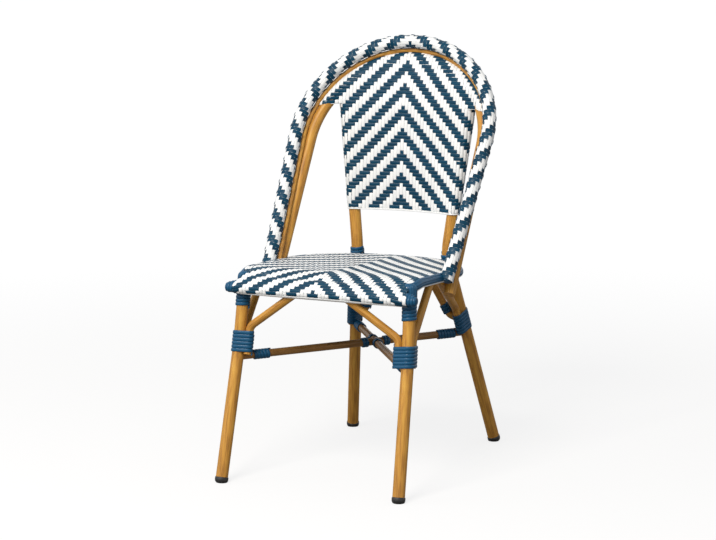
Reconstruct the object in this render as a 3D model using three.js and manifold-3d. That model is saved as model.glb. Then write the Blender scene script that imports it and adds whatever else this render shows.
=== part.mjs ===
// A bistro chair: a bent tube frame finished like cane, with a woven strap seat, a woven back
// and a woven front hoop. Strap windings bind the joints. Millimetres, +Z up, the front faces -Y.
import * as THREE from "three";
import { mergeVertices, mergeGeometries } from "three/addons/utils/BufferGeometryUtils.js";
import Module from "manifold-3d";

const wasm = await Module();
wasm.setup();

// Gaps and counts that every piece uses.
const clearance = 0.3;
const tubeSides = 12;
const rodSides = 10;
const ringSides = 8;
const bendSteps = 4;

// Legs: half spans are measured from the middle of the chair, depths from the front feet.
const legRadius = 13;
const legWall = 1.6;
const frontFootHalfSpan = 203.8;
const frontJointHalfSpan = 194.4;
const frontTopHalfSpan = 189.4;
const frontJointDepth = 68.8;
const frontTopDepth = 88.5;
const jointHeight = 286;
const feetDepth = 598.5;
const rearFootHalfSpan = 176.8;
const rearBendHalfSpan = 107.5;
const rearBendDepth = 476;
const rearBendHeight = 436;
const legBendReach = 34;
const uprightTopHeight = 802;

// Foot glides
const glideRadius = 13.8;
const glideHeight = 12;
const glideDome = 6;
const glideStem = 16;

// Seat ring and the rail under its front edge
const ringRadius = 8.5;
const ringHalfWidth = 193.5;
const ringFront = 72;
const frontBow = 7;
const ringDroop = 15.6;
const ringDroopDepth = 130;
const ringRear = 467.5;
const ringFrontCorner = 36.5;
const ringRearCorner = 170.5;
const ringFrontHeight = 435.6;
const ringRearHeight = 418;
const apronRadius = 8;
const apronDepth = 58;
const apronHeight = 408;
const apronHalfLength = 215;

// Hoops: each lies in a plane that leans back, a half circle on two legs that draw in downwards.
const outerHoopRadius = 11;
const outerHoopBend = 226.5;
const outerHoopTop = 899.5;
const outerHoopBaseDepth = 250;
const hoopBaseHeight = 450;
const outerHoopLeanShare = 0.63;
const outerHoopDrawInShare = 0.054;
const outerHoopFoot = 422;
const innerHoopRadius = 13;
const innerHoopBend = 204.5;
const innerHoopTop = 860;
const innerHoopSetBack = 45.5;
const innerHoopBaseDepth = outerHoopBaseDepth + innerHoopSetBack;
const innerHoopLeanShare = 0.6;
const innerHoopDrawInShare = 0;
const innerHoopFoot = 390;
const hoopSteps = 18;
const sleeveThickness = 4.1;
const sleeveFoot = 422.5;
const sleeveCutFoot = 421;
const caneRadius = 5;
const caneInset = 13.3;
const caneSides = 8;

// Woven straps
const strapThickness = 2.8;
const sheetThickness = 3;
const sheetDrop = 0.6;
const apronWeaveHalfLength = 193;
const backBottom = 527;
const backShoulder = 761;
const backTop = 868;
const backCentreDepth = 489;
const backLeanShare = 0.045;
const backTopRun = 20;
const backRows = 8;
const backColumns = 8;

// Rods: braces and the crossed stretcher
const rodRadius = 8.5;
const rodTuck = 2;
const frontBraceReach = 52;
const sideBraceFrontDepth = 188;
const sideBraceRearDepth = 228;
const rearBraceReach = 52;
const rearBraceFoot = 290;
const rearBraceSetOff = 28;
const stretcherRadius = 8.2;
const stretcherHeight = 260;

// Strap windings
const windWidth = 6.5;
const windThickness = 3.2;
const windPitch = 7.5;
const jointTurns = 6;
const legTopTurns = 4;
const stretcherTurns = 5;
const crossingTurns = 2;
const braceTurns = 3;
const uprightTurns = 2;
const windSteps = 9;
const windRodSteps = 7;
const jointWindBottom = 264.5;
const legTopWindBottom = 361;
const uprightWindBottom = 433;
const stretcherWindStart = { front: 34, rear: 32.5 };
const crossingWindStart = 17.5;
const rearBraceWindStart = 5;

// Finishes
const finishes = {
  caneTube: new THREE.MeshStandardMaterial({ color: 0xb9823f, roughness: 0.42, metalness: 0.1 }),
  darkRod: new THREE.MeshStandardMaterial({ color: 0x8c6a48, roughness: 0.45, metalness: 0.1 }),
  navyStrap: new THREE.MeshStandardMaterial({ color: 0x174a6b, roughness: 0.5, metalness: 0 }),
  wovenStrap: new THREE.MeshStandardMaterial({ color: 0xb9c6cf, roughness: 0.55, metalness: 0 }),
  glide: new THREE.MeshStandardMaterial({ color: 0x2b2b2b, roughness: 0.6, metalness: 0 }),
};

const vec = (x, y, z) => new THREE.Vector3(x, y, z);
const mirrored = (side, p) => vec(side * p.x, p.y, p.z);
const lerp = THREE.MathUtils.lerp;

// Solids and cuts

function toSolid(geometry) {
  const bare = geometry.clone();
  bare.deleteAttribute("normal");
  bare.deleteAttribute("uv");
  const merged = mergeVertices(bare, 1e-4);
  const make = (triVerts) =>
    new wasm.Manifold(
      new wasm.Mesh({ numProp: 3, vertProperties: merged.attributes.position.array, triVerts }),
    );
  const triVerts = new Uint32Array(merged.index.array);
  const solid = make(triVerts);
  if (solid.volume() > 0) return solid;
  for (let i = 0; i < triVerts.length; i += 3) {
    [triVerts[i + 1], triVerts[i + 2]] = [triVerts[i + 2], triVerts[i + 1]];
  }
  return make(triVerts);
}

function toGeometry(solid) {
  const mesh = solid.getMesh();
  const positions = new Float32Array(mesh.numVert * 3);
  for (let i = 0; i < mesh.numVert; i += 1) {
    for (let k = 0; k < 3; k += 1) {
      positions[3 * i + k] = mesh.vertProperties[mesh.numProp * i + k];
    }
  }
  const geometry = new THREE.BufferGeometry();
  geometry.setAttribute("position", new THREE.BufferAttribute(positions, 3));
  geometry.setIndex(Array.from(mesh.triVerts));
  geometry.computeVertexNormals();
  return geometry;
}

const cut = (solid, cutters) => cutters.reduce((left, cutter) => left.subtract(cutter), solid);
const join = (solids) => solids.reduce((whole, next) => whole.add(next));

// The largest body of a cut solid: what a cut leaves as a loose sliver is not a piece.
function mainBody(solid) {
  return solid.decompose().reduce((best, next) => (next.volume() > best.volume() ? next : best));
}

// Paths and tubes

// A path through given points that steps from point to point, so straight runs cost one step.
class PointPath extends THREE.Curve {
  constructor(points) {
    super();
    this.points = points;
  }

  getUtoTmapping(u) {
    return u;
  }

  getPoint(t, target = vec(0, 0, 0)) {
    const last = this.points.length - 1;
    const at = THREE.MathUtils.clamp(t, 0, 1) * last;
    const k = Math.min(Math.floor(at), last - 1);
    return target.lerpVectors(this.points[k], this.points[k + 1], at - k);
  }

  getTangent(t, target = vec(0, 0, 0)) {
    const last = this.points.length - 1;
    const k = Math.round(t * last);
    target.set(0, 0, 0);
    if (k > 0) target.add(this.points[k].clone().sub(this.points[k - 1]).normalize());
    if (k < last) target.add(this.points[k + 1].clone().sub(this.points[k]).normalize());
    return target.normalize();
  }
}

function circlePoints(radius, sides) {
  const points = [];
  for (let i = 0; i < sides; i += 1) {
    const angle = (2 * Math.PI * i) / sides;
    points.push(new THREE.Vector2(radius * Math.cos(angle), radius * Math.sin(angle)));
  }
  return points;
}

function tube(points, radius, sides = tubeSides, bore = 0) {
  const section = new THREE.Shape(circlePoints(radius, sides));
  if (bore > 0) section.holes.push(new THREE.Path(circlePoints(bore, sides).reverse()));
  const extrudePath = new PointPath(points);
  const steps = points.length - 1;
  return toSolid(new THREE.ExtrudeGeometry(section, { steps, extrudePath }));
}

// A polyline whose inner corners are rounded over a reach on both sides.
function roundedPath(corners, reach) {
  const points = [corners[0]];
  for (let i = 1; i < corners.length - 1; i += 1) {
    const before = corners[i].clone().sub(corners[i - 1]).setLength(reach);
    const after = corners[i + 1].clone().sub(corners[i]).setLength(reach);
    const start = corners[i].clone().sub(before);
    const bend = new THREE.QuadraticBezierCurve3(start, corners[i], corners[i].clone().add(after));
    points.push(...bend.getPoints(bendSteps));
  }
  points.push(corners[corners.length - 1]);
  return points;
}

// Seat ring

// The height of the ring's centre: it falls gently to the rear, and droops towards the front.
function ringHeightAt(y) {
  const plane = lerp(ringFrontHeight, ringRearHeight, (y - ringFront) / (ringRear - ringFront));
  const share = THREE.MathUtils.clamp((ringDroopDepth - y) / (ringDroopDepth - ringFront), 0, 1);
  return plane - ringDroop * share ** 2;
}

// How far the front rail and the ring's front bow forward at a place across.
const bowAt = (x) => frontBow * Math.max(1 - (x / apronWeaveHalfLength) ** 2, 0);
const bowSpots = [-0.4, 0.4].map((share) => share * apronWeaveHalfLength);

function ringPlan() {
  const plan = [];
  const frontX = ringHalfWidth - ringFrontCorner;
  const rearX = ringHalfWidth - ringRearCorner;
  const arc = (cx, cy, r, from, to, steps) => {
    for (let i = 0; i <= steps; i += 1) {
      const angle = lerp(from, to, i / steps);
      plan.push([cx + r * Math.cos(angle), cy + r * Math.sin(angle)]);
    }
  };
  const quarter = Math.PI / 2;
  const rearY = ringRear - ringRearCorner;
  const frontY = ringFront + ringFrontCorner;
  plan.push([clearance / 2, ringRear]);
  arc(rearX, rearY, ringRearCorner, quarter, 0, bendSteps + 2);
  plan.push([ringHalfWidth, ringDroopDepth]);
  arc(frontX, frontY, ringFrontCorner, 0, -quarter, bendSteps);
  for (const x of bowSpots) plan.push([-x, ringFront - bowAt(x)]);
  arc(-frontX, frontY, ringFrontCorner, -quarter, -2 * quarter, bendSteps);
  plan.push([-ringHalfWidth, ringDroopDepth]);
  arc(-rearX, rearY, ringRearCorner, 2 * quarter, quarter, bendSteps + 2);
  plan.push([-clearance / 2, ringRear]);
  return plan;
}

const ringPoints = ringPlan().map(([x, y]) => vec(x, y, ringHeightAt(y)));
const ringSolid = (grow) => tube(ringPoints, ringRadius + grow, ringSides);

// Rail under the seat's front edge
const apronSpots = [-apronHalfLength, -apronWeaveHalfLength];
apronSpots.push(...bowSpots, apronWeaveHalfLength, apronHalfLength);
const apronPoints = apronSpots.map((x) => vec(x, apronDepth - bowAt(x), apronHeight));
const apronSolid = (grow) => tube(apronPoints, apronRadius + grow, rodSides);

// Hoops

function hoopPath({ bend, top, baseDepth, leanShare, drawInShare, foot, inset = 0, behind = 0 }) {
  const lean = Math.atan(leanShare);
  const rise = Math.cos(lean);
  const radius = bend - inset;
  const centre = top - bend * rise;
  const start = Math.atan(drawInShare);
  const place = (x, up) => {
    const z = centre + up * rise;
    const y = baseDepth + leanShare * (z - hoopBaseHeight);
    return vec(x, y + behind * rise, z - behind * Math.sin(lean));
  };
  const points = [];
  const run = (centre - foot) / rise - radius * Math.sin(start);
  const footX = radius * Math.cos(start) - run * drawInShare;
  points.push(place(footX, -run - radius * Math.sin(start)));
  for (let i = 0; i <= hoopSteps; i += 1) {
    const angle = lerp(-start, Math.PI + start, i / hoopSteps);
    points.push(place(radius * Math.cos(angle), radius * Math.sin(angle)));
  }
  points.push(place(-footX, -run - radius * Math.sin(start)));
  return points;
}

const outerHoop = {
  bend: outerHoopBend,
  top: outerHoopTop,
  baseDepth: outerHoopBaseDepth,
  leanShare: outerHoopLeanShare,
  drawInShare: outerHoopDrawInShare,
};
const innerHoop = {
  bend: innerHoopBend,
  top: innerHoopTop,
  baseDepth: innerHoopBaseDepth,
  leanShare: innerHoopLeanShare,
  drawInShare: innerHoopDrawInShare,
  foot: innerHoopFoot,
};
const sleeveRadius = outerHoopRadius + clearance + sleeveThickness;
const outerHoopPoints = hoopPath({ ...outerHoop, foot: outerHoopFoot });
const sleevePoints = hoopPath({ ...outerHoop, foot: sleeveFoot });
const sleeveCutPoints = hoopPath({ ...outerHoop, foot: sleeveCutFoot });
const innerHoopPoints = hoopPath(innerHoop);
const caneBehind = Math.sqrt((sleeveRadius + clearance + caneRadius) ** 2 - caneInset ** 2);
const canePoints = hoopPath({
  ...outerHoop,
  foot: ringFrontHeight,
  inset: caneInset,
  behind: caneBehind,
});
const innerHoopSolid = (grow) => tube(innerHoopPoints, innerHoopRadius + grow, tubeSides);
const caneSolid = (grow) => tube(canePoints, caneRadius + grow, caneSides);

// A point on the inner hoop's right half at a height above its bend's centre.
function innerHoopAt(z) {
  const rise = Math.cos(Math.atan(innerHoopLeanShare));
  const up = (z - (innerHoopTop - innerHoopBend * rise)) / rise;
  const x = Math.sqrt(Math.max(innerHoopBend ** 2 - up ** 2, 0));
  return vec(x, innerHoopBaseDepth + innerHoopLeanShare * (z - hoopBaseHeight), z);
}

// Legs

const frontLegFoot = vec(frontFootHalfSpan, 0, 0);
const frontLegJoint = vec(frontJointHalfSpan, frontJointDepth, jointHeight);
const frontLegTop = vec(frontTopHalfSpan, frontTopDepth, ringHeightAt(frontTopDepth));
const rearLegFoot = vec(rearFootHalfSpan, feetDepth, 0);
const rearLegBend = vec(rearBendHalfSpan, rearBendDepth, rearBendHeight);
const uprightTop = innerHoopAt(uprightTopHeight);

const along = (from, to, z) => from.clone().lerp(to, (z - from.z) / (to.z - from.z));

const frontLegAt = (z) =>
  z < jointHeight ? along(frontLegFoot, frontLegJoint, z) : along(frontLegJoint, frontLegTop, z);
const rearLegAt = (z) =>
  z < rearBendHeight ? along(rearLegFoot, rearLegBend, z) : along(rearLegBend, uprightTop, z);

function legPoints(corners, side) {
  const foot = along(corners[0], corners[1], glideHeight);
  const path = roundedPath([foot, ...corners.slice(1)], legBendReach);
  return path.map((p) => mirrored(side, p));
}

const legSolid = (points, grow, bore = 0) => tube(points, legRadius + grow, tubeSides, bore);

function glide(foot, towards, side) {
  const stemRadius = legRadius - 2 * legWall;
  const profile = [
    [0, -glideDome],
    [glideRadius - glideDome, -glideDome],
    [glideRadius - glideDome / 3, 0],
    [glideRadius, glideDome],
    [glideRadius, glideHeight - clearance],
    [stemRadius, glideHeight - clearance],
    [stemRadius, glideHeight + glideStem],
    [0, glideHeight + glideStem],
  ].map(([r, h]) => new THREE.Vector2(r, h));
  const geometry = new THREE.LatheGeometry(profile, tubeSides);
  const turn = new THREE.Quaternion().setFromUnitVectors(
    vec(0, 1, 0),
    mirrored(side, towards.clone().sub(foot).normalize()),
  );
  geometry.applyQuaternion(turn);
  const place = mirrored(side, foot);
  geometry.translate(place.x, place.y, place.z);
  const size = 4 * glideRadius;
  const floor = new THREE.BoxGeometry(size, size, size).translate(place.x, place.y, -size / 2);
  return toSolid(geometry).subtract(toSolid(floor));
}

// Outlines that wrap several round members, for windings and their envelopes

// The outline round circles [x, y, r] grown by a margin: points, their outward directions and
// their distance along it. Its arcs are split evenly and each straight span takes one step.
function wrapOutline(circles, margin, steps) {
  const fine = 1440;
  const direction = (angle) => new THREE.Vector2(Math.cos(angle), Math.sin(angle));
  const farthest = (angle) => {
    const dir = direction(angle);
    const reach = ([x, y, r]) => x * dir.x + y * dir.y + r;
    return circles.reduce((best, c) => (reach(c) > reach(best) ? c : best));
  };
  const arcs = [];
  for (let i = 0; i < fine; i += 1) {
    const angle = (2 * Math.PI * i) / fine;
    const circle = farthest(angle);
    if (!arcs.length || arcs[arcs.length - 1].circle !== circle) arcs.push({ circle, from: angle });
  }
  const whole = arcs.length < 2;
  if (!whole && arcs[0].circle === arcs[arcs.length - 1].circle) {
    arcs[0].from = arcs.pop().from - 2 * Math.PI;
  }
  const outline = [];
  for (const [k, arc] of arcs.entries()) {
    const to = k + 1 < arcs.length ? arcs[k + 1].from : arcs[0].from + 2 * Math.PI;
    const count = Math.ceil(((to - arc.from) * steps) / (2 * Math.PI));
    const [x, y, r] = arc.circle;
    const reach = (r + margin) / Math.cos((to - arc.from) / count / 2);
    for (let i = 0; i < (whole ? count : count + 1); i += 1) {
      const dir = direction(lerp(arc.from, to, i / count));
      outline.push({ at: new THREE.Vector2(x, y).addScaledVector(dir, reach), dir, run: 0 });
    }
  }
  for (let i = 1; i < outline.length; i += 1) {
    outline[i].run = outline[i - 1].run + outline[i].at.distanceTo(outline[i - 1].at);
  }
  return outline;
}

// The point of a rising polyline at a height.
function pointAtHeight(points, z) {
  let k = 1;
  while (k < points.length - 1 && points[k].z < z) k += 1;
  return along(points[k - 1], points[k], z);
}

function crossFrame(start, end, sideways) {
  const axis = end.clone().sub(start).normalize();
  const u = sideways.clone().addScaledVector(axis, -sideways.dot(axis)).normalize();
  return { axis, u, v: axis.clone().cross(u) };
}

// A strap wound round members that run from start to end, as one unbroken helical tube.
function winding(name, { start, end, sideways, circles, turns, steps, centreAt }) {
  const { axis, u, v } = crossFrame(start, end, sideways);
  const outline = wrapOutline(circles, clearance + windThickness / 2, steps);
  const count = outline.length;
  const girth = outline[count - 1].run + outline[count - 1].at.distanceTo(outline[0].at);
  const section = [
    [-windWidth / 2, -windThickness / 2],
    [windWidth / 2, -windThickness / 2],
    [windWidth / 3, windThickness / 2],
    [-windWidth / 3, windThickness / 2],
  ];
  const rings = [];
  for (let i = 0; i <= turns * count; i += 1) {
    const { at, dir, run } = outline[i % count];
    const lift = windWidth / 2 + windPitch * (Math.floor(i / count) + run / girth);
    const middle = centreAt ? centreAt(lift) : start.clone().addScaledVector(axis, lift);
    middle.addScaledVector(u, at.x).addScaledVector(v, at.y);
    const outward = u.clone().multiplyScalar(dir.x).addScaledVector(v, dir.y);
    rings.push(
      section.map(([a, r]) => middle.clone().addScaledVector(axis, a).addScaledVector(outward, r)),
    );
  }
  console.log(name + ": least gap between its turns " + leastGap(rings, count).toFixed(2) + " mm");
  return ringedSolid(rings);
}

// The least distance between points of one turn and points at the same place of the next turn.
function leastGap(rings, steps) {
  let least = Infinity;
  for (let i = 0; i + steps < rings.length; i += 1) {
    for (let j = i + steps - 1; j <= i + steps + 1 && j < rings.length; j += 1) {
      for (const p of rings[i]) {
        for (const q of rings[j]) least = Math.min(least, p.distanceTo(q));
      }
    }
  }
  return least;
}

// A closed solid through rings of points that all have the same count.
function ringedSolid(rings) {
  const count = rings[0].length;
  const corners = rings.flat();
  const index = [];
  for (let i = 0; i + 1 < rings.length; i += 1) {
    for (let k = 0; k < count; k += 1) {
      const a = i * count + k;
      const b = i * count + ((k + 1) % count);
      index.push(a, b, b + count, a, b + count, a + count);
    }
  }
  const last = (rings.length - 1) * count;
  const cap = THREE.ShapeUtils.triangulateShape(flatten(rings[0]), []);
  for (const [a, b, c] of cap) index.push(c, b, a);
  const endCap = THREE.ShapeUtils.triangulateShape(flatten(rings[rings.length - 1]), []);
  for (const [a, b, c] of endCap) index.push(last + a, last + b, last + c);
  const geometry = new THREE.BufferGeometry().setFromPoints(corners);
  geometry.setIndex(index);
  return toSolid(geometry);
}

// A ring's corners in its own plane, turned so that it runs anticlockwise there.
function flatten(ring) {
  const normal = vec(0, 0, 0);
  for (let k = 0; k < ring.length; k += 1) {
    normal.add(ring[k].clone().cross(ring[(k + 1) % ring.length]));
  }
  normal.normalize();
  const u = ring[1].clone().sub(ring[0]).normalize();
  const v = normal.clone().cross(u);
  return ring.map((p) => new THREE.Vector2(p.dot(u), p.dot(v)));
}

// The straight envelope of a winding, so that what it meets ends at its surface.
function envelope({ start, end, sideways, circles }) {
  const { axis, u, v } = crossFrame(start, end, sideways);
  const outline = wrapOutline(circles, 3 * clearance + windThickness, 2 * windSteps);
  const ringAt = (end_) =>
    outline.map(({ at }) => end_.clone().addScaledVector(u, at.x).addScaledVector(v, at.y));
  const over = clearance;
  return ringedSolid([
    ringAt(start.clone().addScaledVector(axis, -over)),
    ringAt(end.clone().addScaledVector(axis, over)),
  ]);
}

// Braces

const rodOffset = legRadius + clearance + rodRadius;
const jointWindTop = jointWindBottom + jointTurns * windPitch + windWidth;

// A brace: it runs beside its leg through the joint winding, then bends off to its target.
function bracePath(leg, inShare, frontShare, target) {
  const low = jointWindBottom + rodTuck;
  const high = jointWindTop + rodRadius;
  const ends = [low, high].map((z) => pointAtHeight(leg, z));
  const { u, v } = crossFrame(...ends, vec(-1, 0, 0));
  const between = leg.filter((p) => p.z > low + rodRadius && p.z < high - rodRadius);
  const beside = [ends[0], ...between, ends[1]].map((p) =>
    p.clone().addScaledVector(u, inShare * rodOffset).addScaledVector(v, frontShare * rodOffset),
  );
  const bend = roundedPath([...beside.slice(-2), target], rodRadius);
  return [...beside.slice(0, -2), ...bend];
}

const braceTargets = {
  front: vec(frontBraceReach, apronDepth, apronHeight),
  sideFront: vec(ringHalfWidth, sideBraceFrontDepth, ringHeightAt(sideBraceFrontDepth)),
  sideRear: vec(ringHalfWidth, sideBraceRearDepth, ringHeightAt(sideBraceRearDepth)),
  rear: vec(rearBraceReach, ringRear, ringRearHeight),
};
const frontLeg = legPoints([frontLegFoot, frontLegJoint, frontLegTop], 1);
const rearLeg = legPoints([rearLegFoot, rearLegBend, uprightTop], 1);

const rearBraceElbow = rearLegAt(rearBraceFoot).add(
  vec(-rearBraceSetOff, -rearBraceSetOff / 4, rearBraceSetOff / 4),
);

const rightBraces = {
  front_brace: bracePath(frontLeg, 1, 0, braceTargets.front),
  side_brace_front: bracePath(frontLeg, 0, -1, braceTargets.sideFront),
  side_brace_rear: bracePath(rearLeg, 0, 1, braceTargets.sideRear),
  rear_brace: roundedPath(
    [rearLegAt(rearBraceFoot), rearBraceElbow, braceTargets.rear],
    rodRadius,
  ),
};

const rodSolid = (points, side, grow) =>
  tube(
    points.map((p) => mirrored(side, p)),
    rodRadius + grow,
    rodSides,
  );

// Crossed stretcher: one long rod and two half rods that meet it

const stretcherEnd = {
  front: frontLegAt(stretcherHeight),
  rear: rearLegAt(stretcherHeight),
};
const crossing = vec(
  0,
  lerp(
    stretcherEnd.front.y,
    stretcherEnd.rear.y,
    stretcherEnd.front.x / (stretcherEnd.front.x + stretcherEnd.rear.x),
  ),
  stretcherHeight,
);
const stretcherRun = (from, to, grow) => tube([from, to], stretcherRadius + grow, rodSides);

// Windings on round members

const jointCircles = {
  front: [
    [0, 0, legRadius],
    [rodOffset, 0, rodRadius],
    [0, -rodOffset, rodRadius],
  ],
  rear: [
    [0, 0, legRadius],
    [0, rodOffset, rodRadius],
  ],
};

// A winding round a leg between heights; sideways is inwards, so on the right side the other
// axis points forwards and on the left side backwards.
function legWinding(leg, side, bottom, turns, circles) {
  const top = bottom + turns * windPitch + windWidth;
  const [start, end] = [bottom, top].map((z) => mirrored(side, pointAtHeight(leg, z)));
  const share = (top - bottom) / end.distanceTo(start);
  return {
    start,
    end,
    sideways: vec(-side, 0, 0),
    circles: circles.map(([x, y, r]) => [x, side * y, r]),
    turns,
    steps: windSteps,
    centreAt: (lift) => mirrored(side, pointAtHeight(leg, bottom + lift * share)),
  };
}

const jointWinding = (which, leg, side) =>
  legWinding(leg, side, jointWindBottom, jointTurns, jointCircles[which]);

function memberWinding(from, to, startDistance, turns, radius, steps) {
  const run = to.clone().sub(from).normalize();
  const start = from.clone().addScaledVector(run, startDistance);
  const end = start.clone().addScaledVector(run, turns * windPitch + windWidth);
  const sideways = Math.abs(run.z) > 0.5 ? vec(1, 0, 0) : vec(0, 0, 1);
  return { start, end, sideways, circles: [[0, 0, radius]], turns, steps };
}

// Seat weave: a sheet over the ring, a skin round the ring and a skin round the front rails

function seatWeave(cutters) {
  const skinRadius = ringRadius + clearance + strapThickness;
  const rightHalf = ringPlan().filter(([x, y]) => x > clearance && y >= ringFront);
  const sheet = ringedSolid(
    rightHalf.map(([x, y]) => {
      const top = ringHeightAt(y) + skinRadius - sheetDrop;
      const low = top - sheetThickness;
      return [vec(-x, y, low), vec(x, y, low), vec(x, y, top), vec(-x, y, top)];
    }),
  );
  const ringSkin = tube(ringPoints, skinRadius, ringSides);
  const apronSkin = (grow, halfLength) => {
    const members = [
      [ringFront, ringHeightAt(ringFront), ringRadius + clearance + grow],
      [apronDepth, apronHeight, apronRadius + clearance + grow],
    ];
    const outline = wrapOutline(members, 0, windSteps);
    const ringAt = (x) => outline.map(({ at }) => vec(x, at.x - bowAt(x), at.y));
    return ringedSolid([-halfLength, ...bowSpots, halfLength].map(ringAt));
  };
  const over = halfLengthOverrun;
  const skin = apronSkin(strapThickness, apronWeaveHalfLength);
  const hollow = apronSkin(0, apronWeaveHalfLength + over);
  const whole = join([skin.subtract(hollow), ringSkin, sheet]);
  return mainBody(cut(whole, cutters));
}

const halfLengthOverrun = 5;

// Back weave: a dished sheet, and a skin round the uprights and over the inner hoop

function backDepthAt(z) {
  const lean = backCentreDepth + backLeanShare * (z - backBottom);
  const top = Math.max(z - backShoulder, 0) / (backTop - backShoulder);
  return lean + backTopRun * top ** 2;
}

function backEdgeAt(z) {
  if (z < backShoulder) return rearLegAt(z);
  return innerHoopAt(Math.min(z, innerHoopTop));
}

function backWeave(cutters) {
  const rings = [];
  const heights = [];
  const rowsBelow = Math.round(backRows / 2);
  for (let i = 0; i <= rowsBelow; i += 1) {
    heights.push(lerp(backBottom, backShoulder - clearance, i / rowsBelow));
  }
  for (let i = 0; i <= backRows - rowsBelow; i += 1) {
    heights.push(lerp(backShoulder, innerHoopTop - legRadius / 2, i / (backRows - rowsBelow)));
  }
  for (const z of heights) {
    const edge = backEdgeAt(z);
    const front = edge.y - legRadius - clearance;
    const skin = [];
    for (const back of [0, 1]) {
      for (let k = 0; k <= backColumns; k += 1) {
        const share = lerp(-1, 1, back ? 1 - k / backColumns : k / backColumns);
        const y = lerp(backDepthAt(z), front, share ** 2);
        skin.push(vec(share * edge.x, y - (back ? 0 : sheetThickness), z));
      }
    }
    rings.push(skin);
  }
  const parts = [ringedSolid(rings)];
  const skinRadius = legRadius + clearance + strapThickness;
  for (const side of [-1, 1]) {
    const points = [backBottom, uprightTopHeight].map((z) => mirrored(side, rearLegAt(z)));
    parts.push(tube(points, skinRadius, rodSides));
  }
  const over = innerHoopPoints.filter((p) => p.z > backShoulder);
  parts.push(tube(over, skinRadius, rodSides));
  return mainBody(cut(join(parts), cutters));
}

// Corner windings: they close the ends of the front rail and tie it to the ring

function cornerWrap(side, cutters) {
  const endX = apronHalfLength + clearance + strapThickness;
  const startX = apronWeaveHalfLength + clearance;
  const skin = apronRadius + clearance + strapThickness;
  const barEnd = tube(
    [vec(side * startX, apronDepth, apronHeight), vec(side * endX, apronDepth, apronHeight)],
    skin,
    rodSides,
  );
  const cornerY = ringFront + ringFrontCorner / 2;
  const members = [
    [apronDepth, apronHeight, skin],
    [cornerY, ringHeightAt(cornerY), ringRadius + clearance + strapThickness],
  ];
  const outline = wrapOutline(members, 0, 2 * windSteps);
  const ringAt = (x) => outline.map(({ at }) => vec(side * x, at.x, at.y));
  const web = ringedSolid([ringAt(startX), ringAt(ringHalfWidth + ringRadius)]);
  return mainBody(cut(join([barEnd, web]), cutters));
}

// Assembly

const chair = new THREE.Group();
chair.name = "bistro_chair";

function addPiece(name, solid, finish) {
  const mesh = new THREE.Mesh(toGeometry(solid), finish);
  mesh.name = name;
  chair.add(mesh);
}

const sides = { left: -1, right: 1 };
const legs = {};
for (const [word, side] of Object.entries(sides)) {
  legs["front_leg_" + word] = frontLeg.map((p) => mirrored(side, p));
  legs["rear_leg_" + word] = rearLeg.map((p) => mirrored(side, p));
}
const grownRing = ringSolid(clearance);
const grownApron = apronSolid(clearance);
const grownInnerHoop = innerHoopSolid(clearance);
const grownCane = caneSolid(clearance);
const grownSleeve = tube(sleeveCutPoints, sleeveRadius + clearance, rodSides);
const grownOuterHoop = tube(outerHoopPoints, outerHoopRadius + clearance, rodSides);
const grownLegs = Object.fromEntries(
  Object.entries(legs).map(([name, points]) => [name, legSolid(points, clearance)]),
);
const allLegs = Object.values(grownLegs);

addPiece("seat_ring", ringSolid(0), finishes.caneTube);
addPiece("seat_front_rail", apronSolid(0), finishes.caneTube);
for (const [name, points] of Object.entries(legs)) {
  const hollow = legSolid(points, 0, legRadius - legWall);
  addPiece(name, mainBody(cut(hollow, [grownRing, grownInnerHoop])), finishes.caneTube);
}
for (const [word, side] of Object.entries(sides)) {
  addPiece("front_glide_" + word, glide(frontLegFoot, frontLegJoint, side), finishes.glide);
  addPiece("rear_glide_" + word, glide(rearLegFoot, rearLegBend, side), finishes.glide);
}
addPiece("inner_hoop", mainBody(cut(innerHoopSolid(0), [grownRing])), finishes.caneTube);
addPiece(
  "outer_hoop",
  mainBody(cut(tube(outerHoopPoints, outerHoopRadius, rodSides), [grownRing])),
  finishes.caneTube,
);
addPiece("hoop_cane", mainBody(cut(caneSolid(0), [grownRing])), finishes.caneTube);
addPiece(
  "hoop_sleeve",
  mainBody(
    cut(tube(sleevePoints, sleeveRadius, rodSides), [grownOuterHoop, grownRing, grownCane]),
  ),
  finishes.wovenStrap,
);

// Braces: what passes the joint windings from outside them ends at their surface.
const grownRods = [];
const rods = [];
const envelopes = [];
for (const side of Object.values(sides)) {
  envelopes.push(envelope(jointWinding("front", frontLeg, side)));
  envelopes.push(envelope(jointWinding("rear", rearLeg, side)));
}
for (const [word, side] of Object.entries(sides)) {
  for (const [kind, points] of Object.entries(rightBraces)) {
    const cutters = [grownRing, grownApron, grownSleeve, ...allLegs];
    if (kind === "rear_brace") cutters.push(...envelopes);
    const solid = mainBody(cut(rodSolid(points, side, 0), cutters));
    rods.push([kind + "_" + word, solid]);
    grownRods.push(rodSolid(points, side, clearance));
  }
}
for (const [name, solid] of rods) addPiece(name, solid, finishes.caneTube);

// Stretcher rods
const stretcherCorner = (word, side) => mirrored(side, stretcherEnd[word]);
const longRun = [stretcherCorner("front", -1), stretcherCorner("rear", 1)];
const stretcherCutters = [...allLegs, ...grownRods, ...envelopes];
addPiece(
  "stretcher_long",
  mainBody(cut(stretcherRun(...longRun, 0), stretcherCutters)),
  finishes.darkRod,
);
const grownLong = stretcherRun(...longRun, clearance);
for (const [word, side] of [
  ["front", 1],
  ["rear", -1],
]) {
  const half = stretcherRun(stretcherCorner(word, side), crossing, 0);
  const solid = mainBody(cut(half, [grownLong, ...stretcherCutters]));
  addPiece("stretcher_half_" + word, solid, finishes.darkRod);
}

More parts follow.
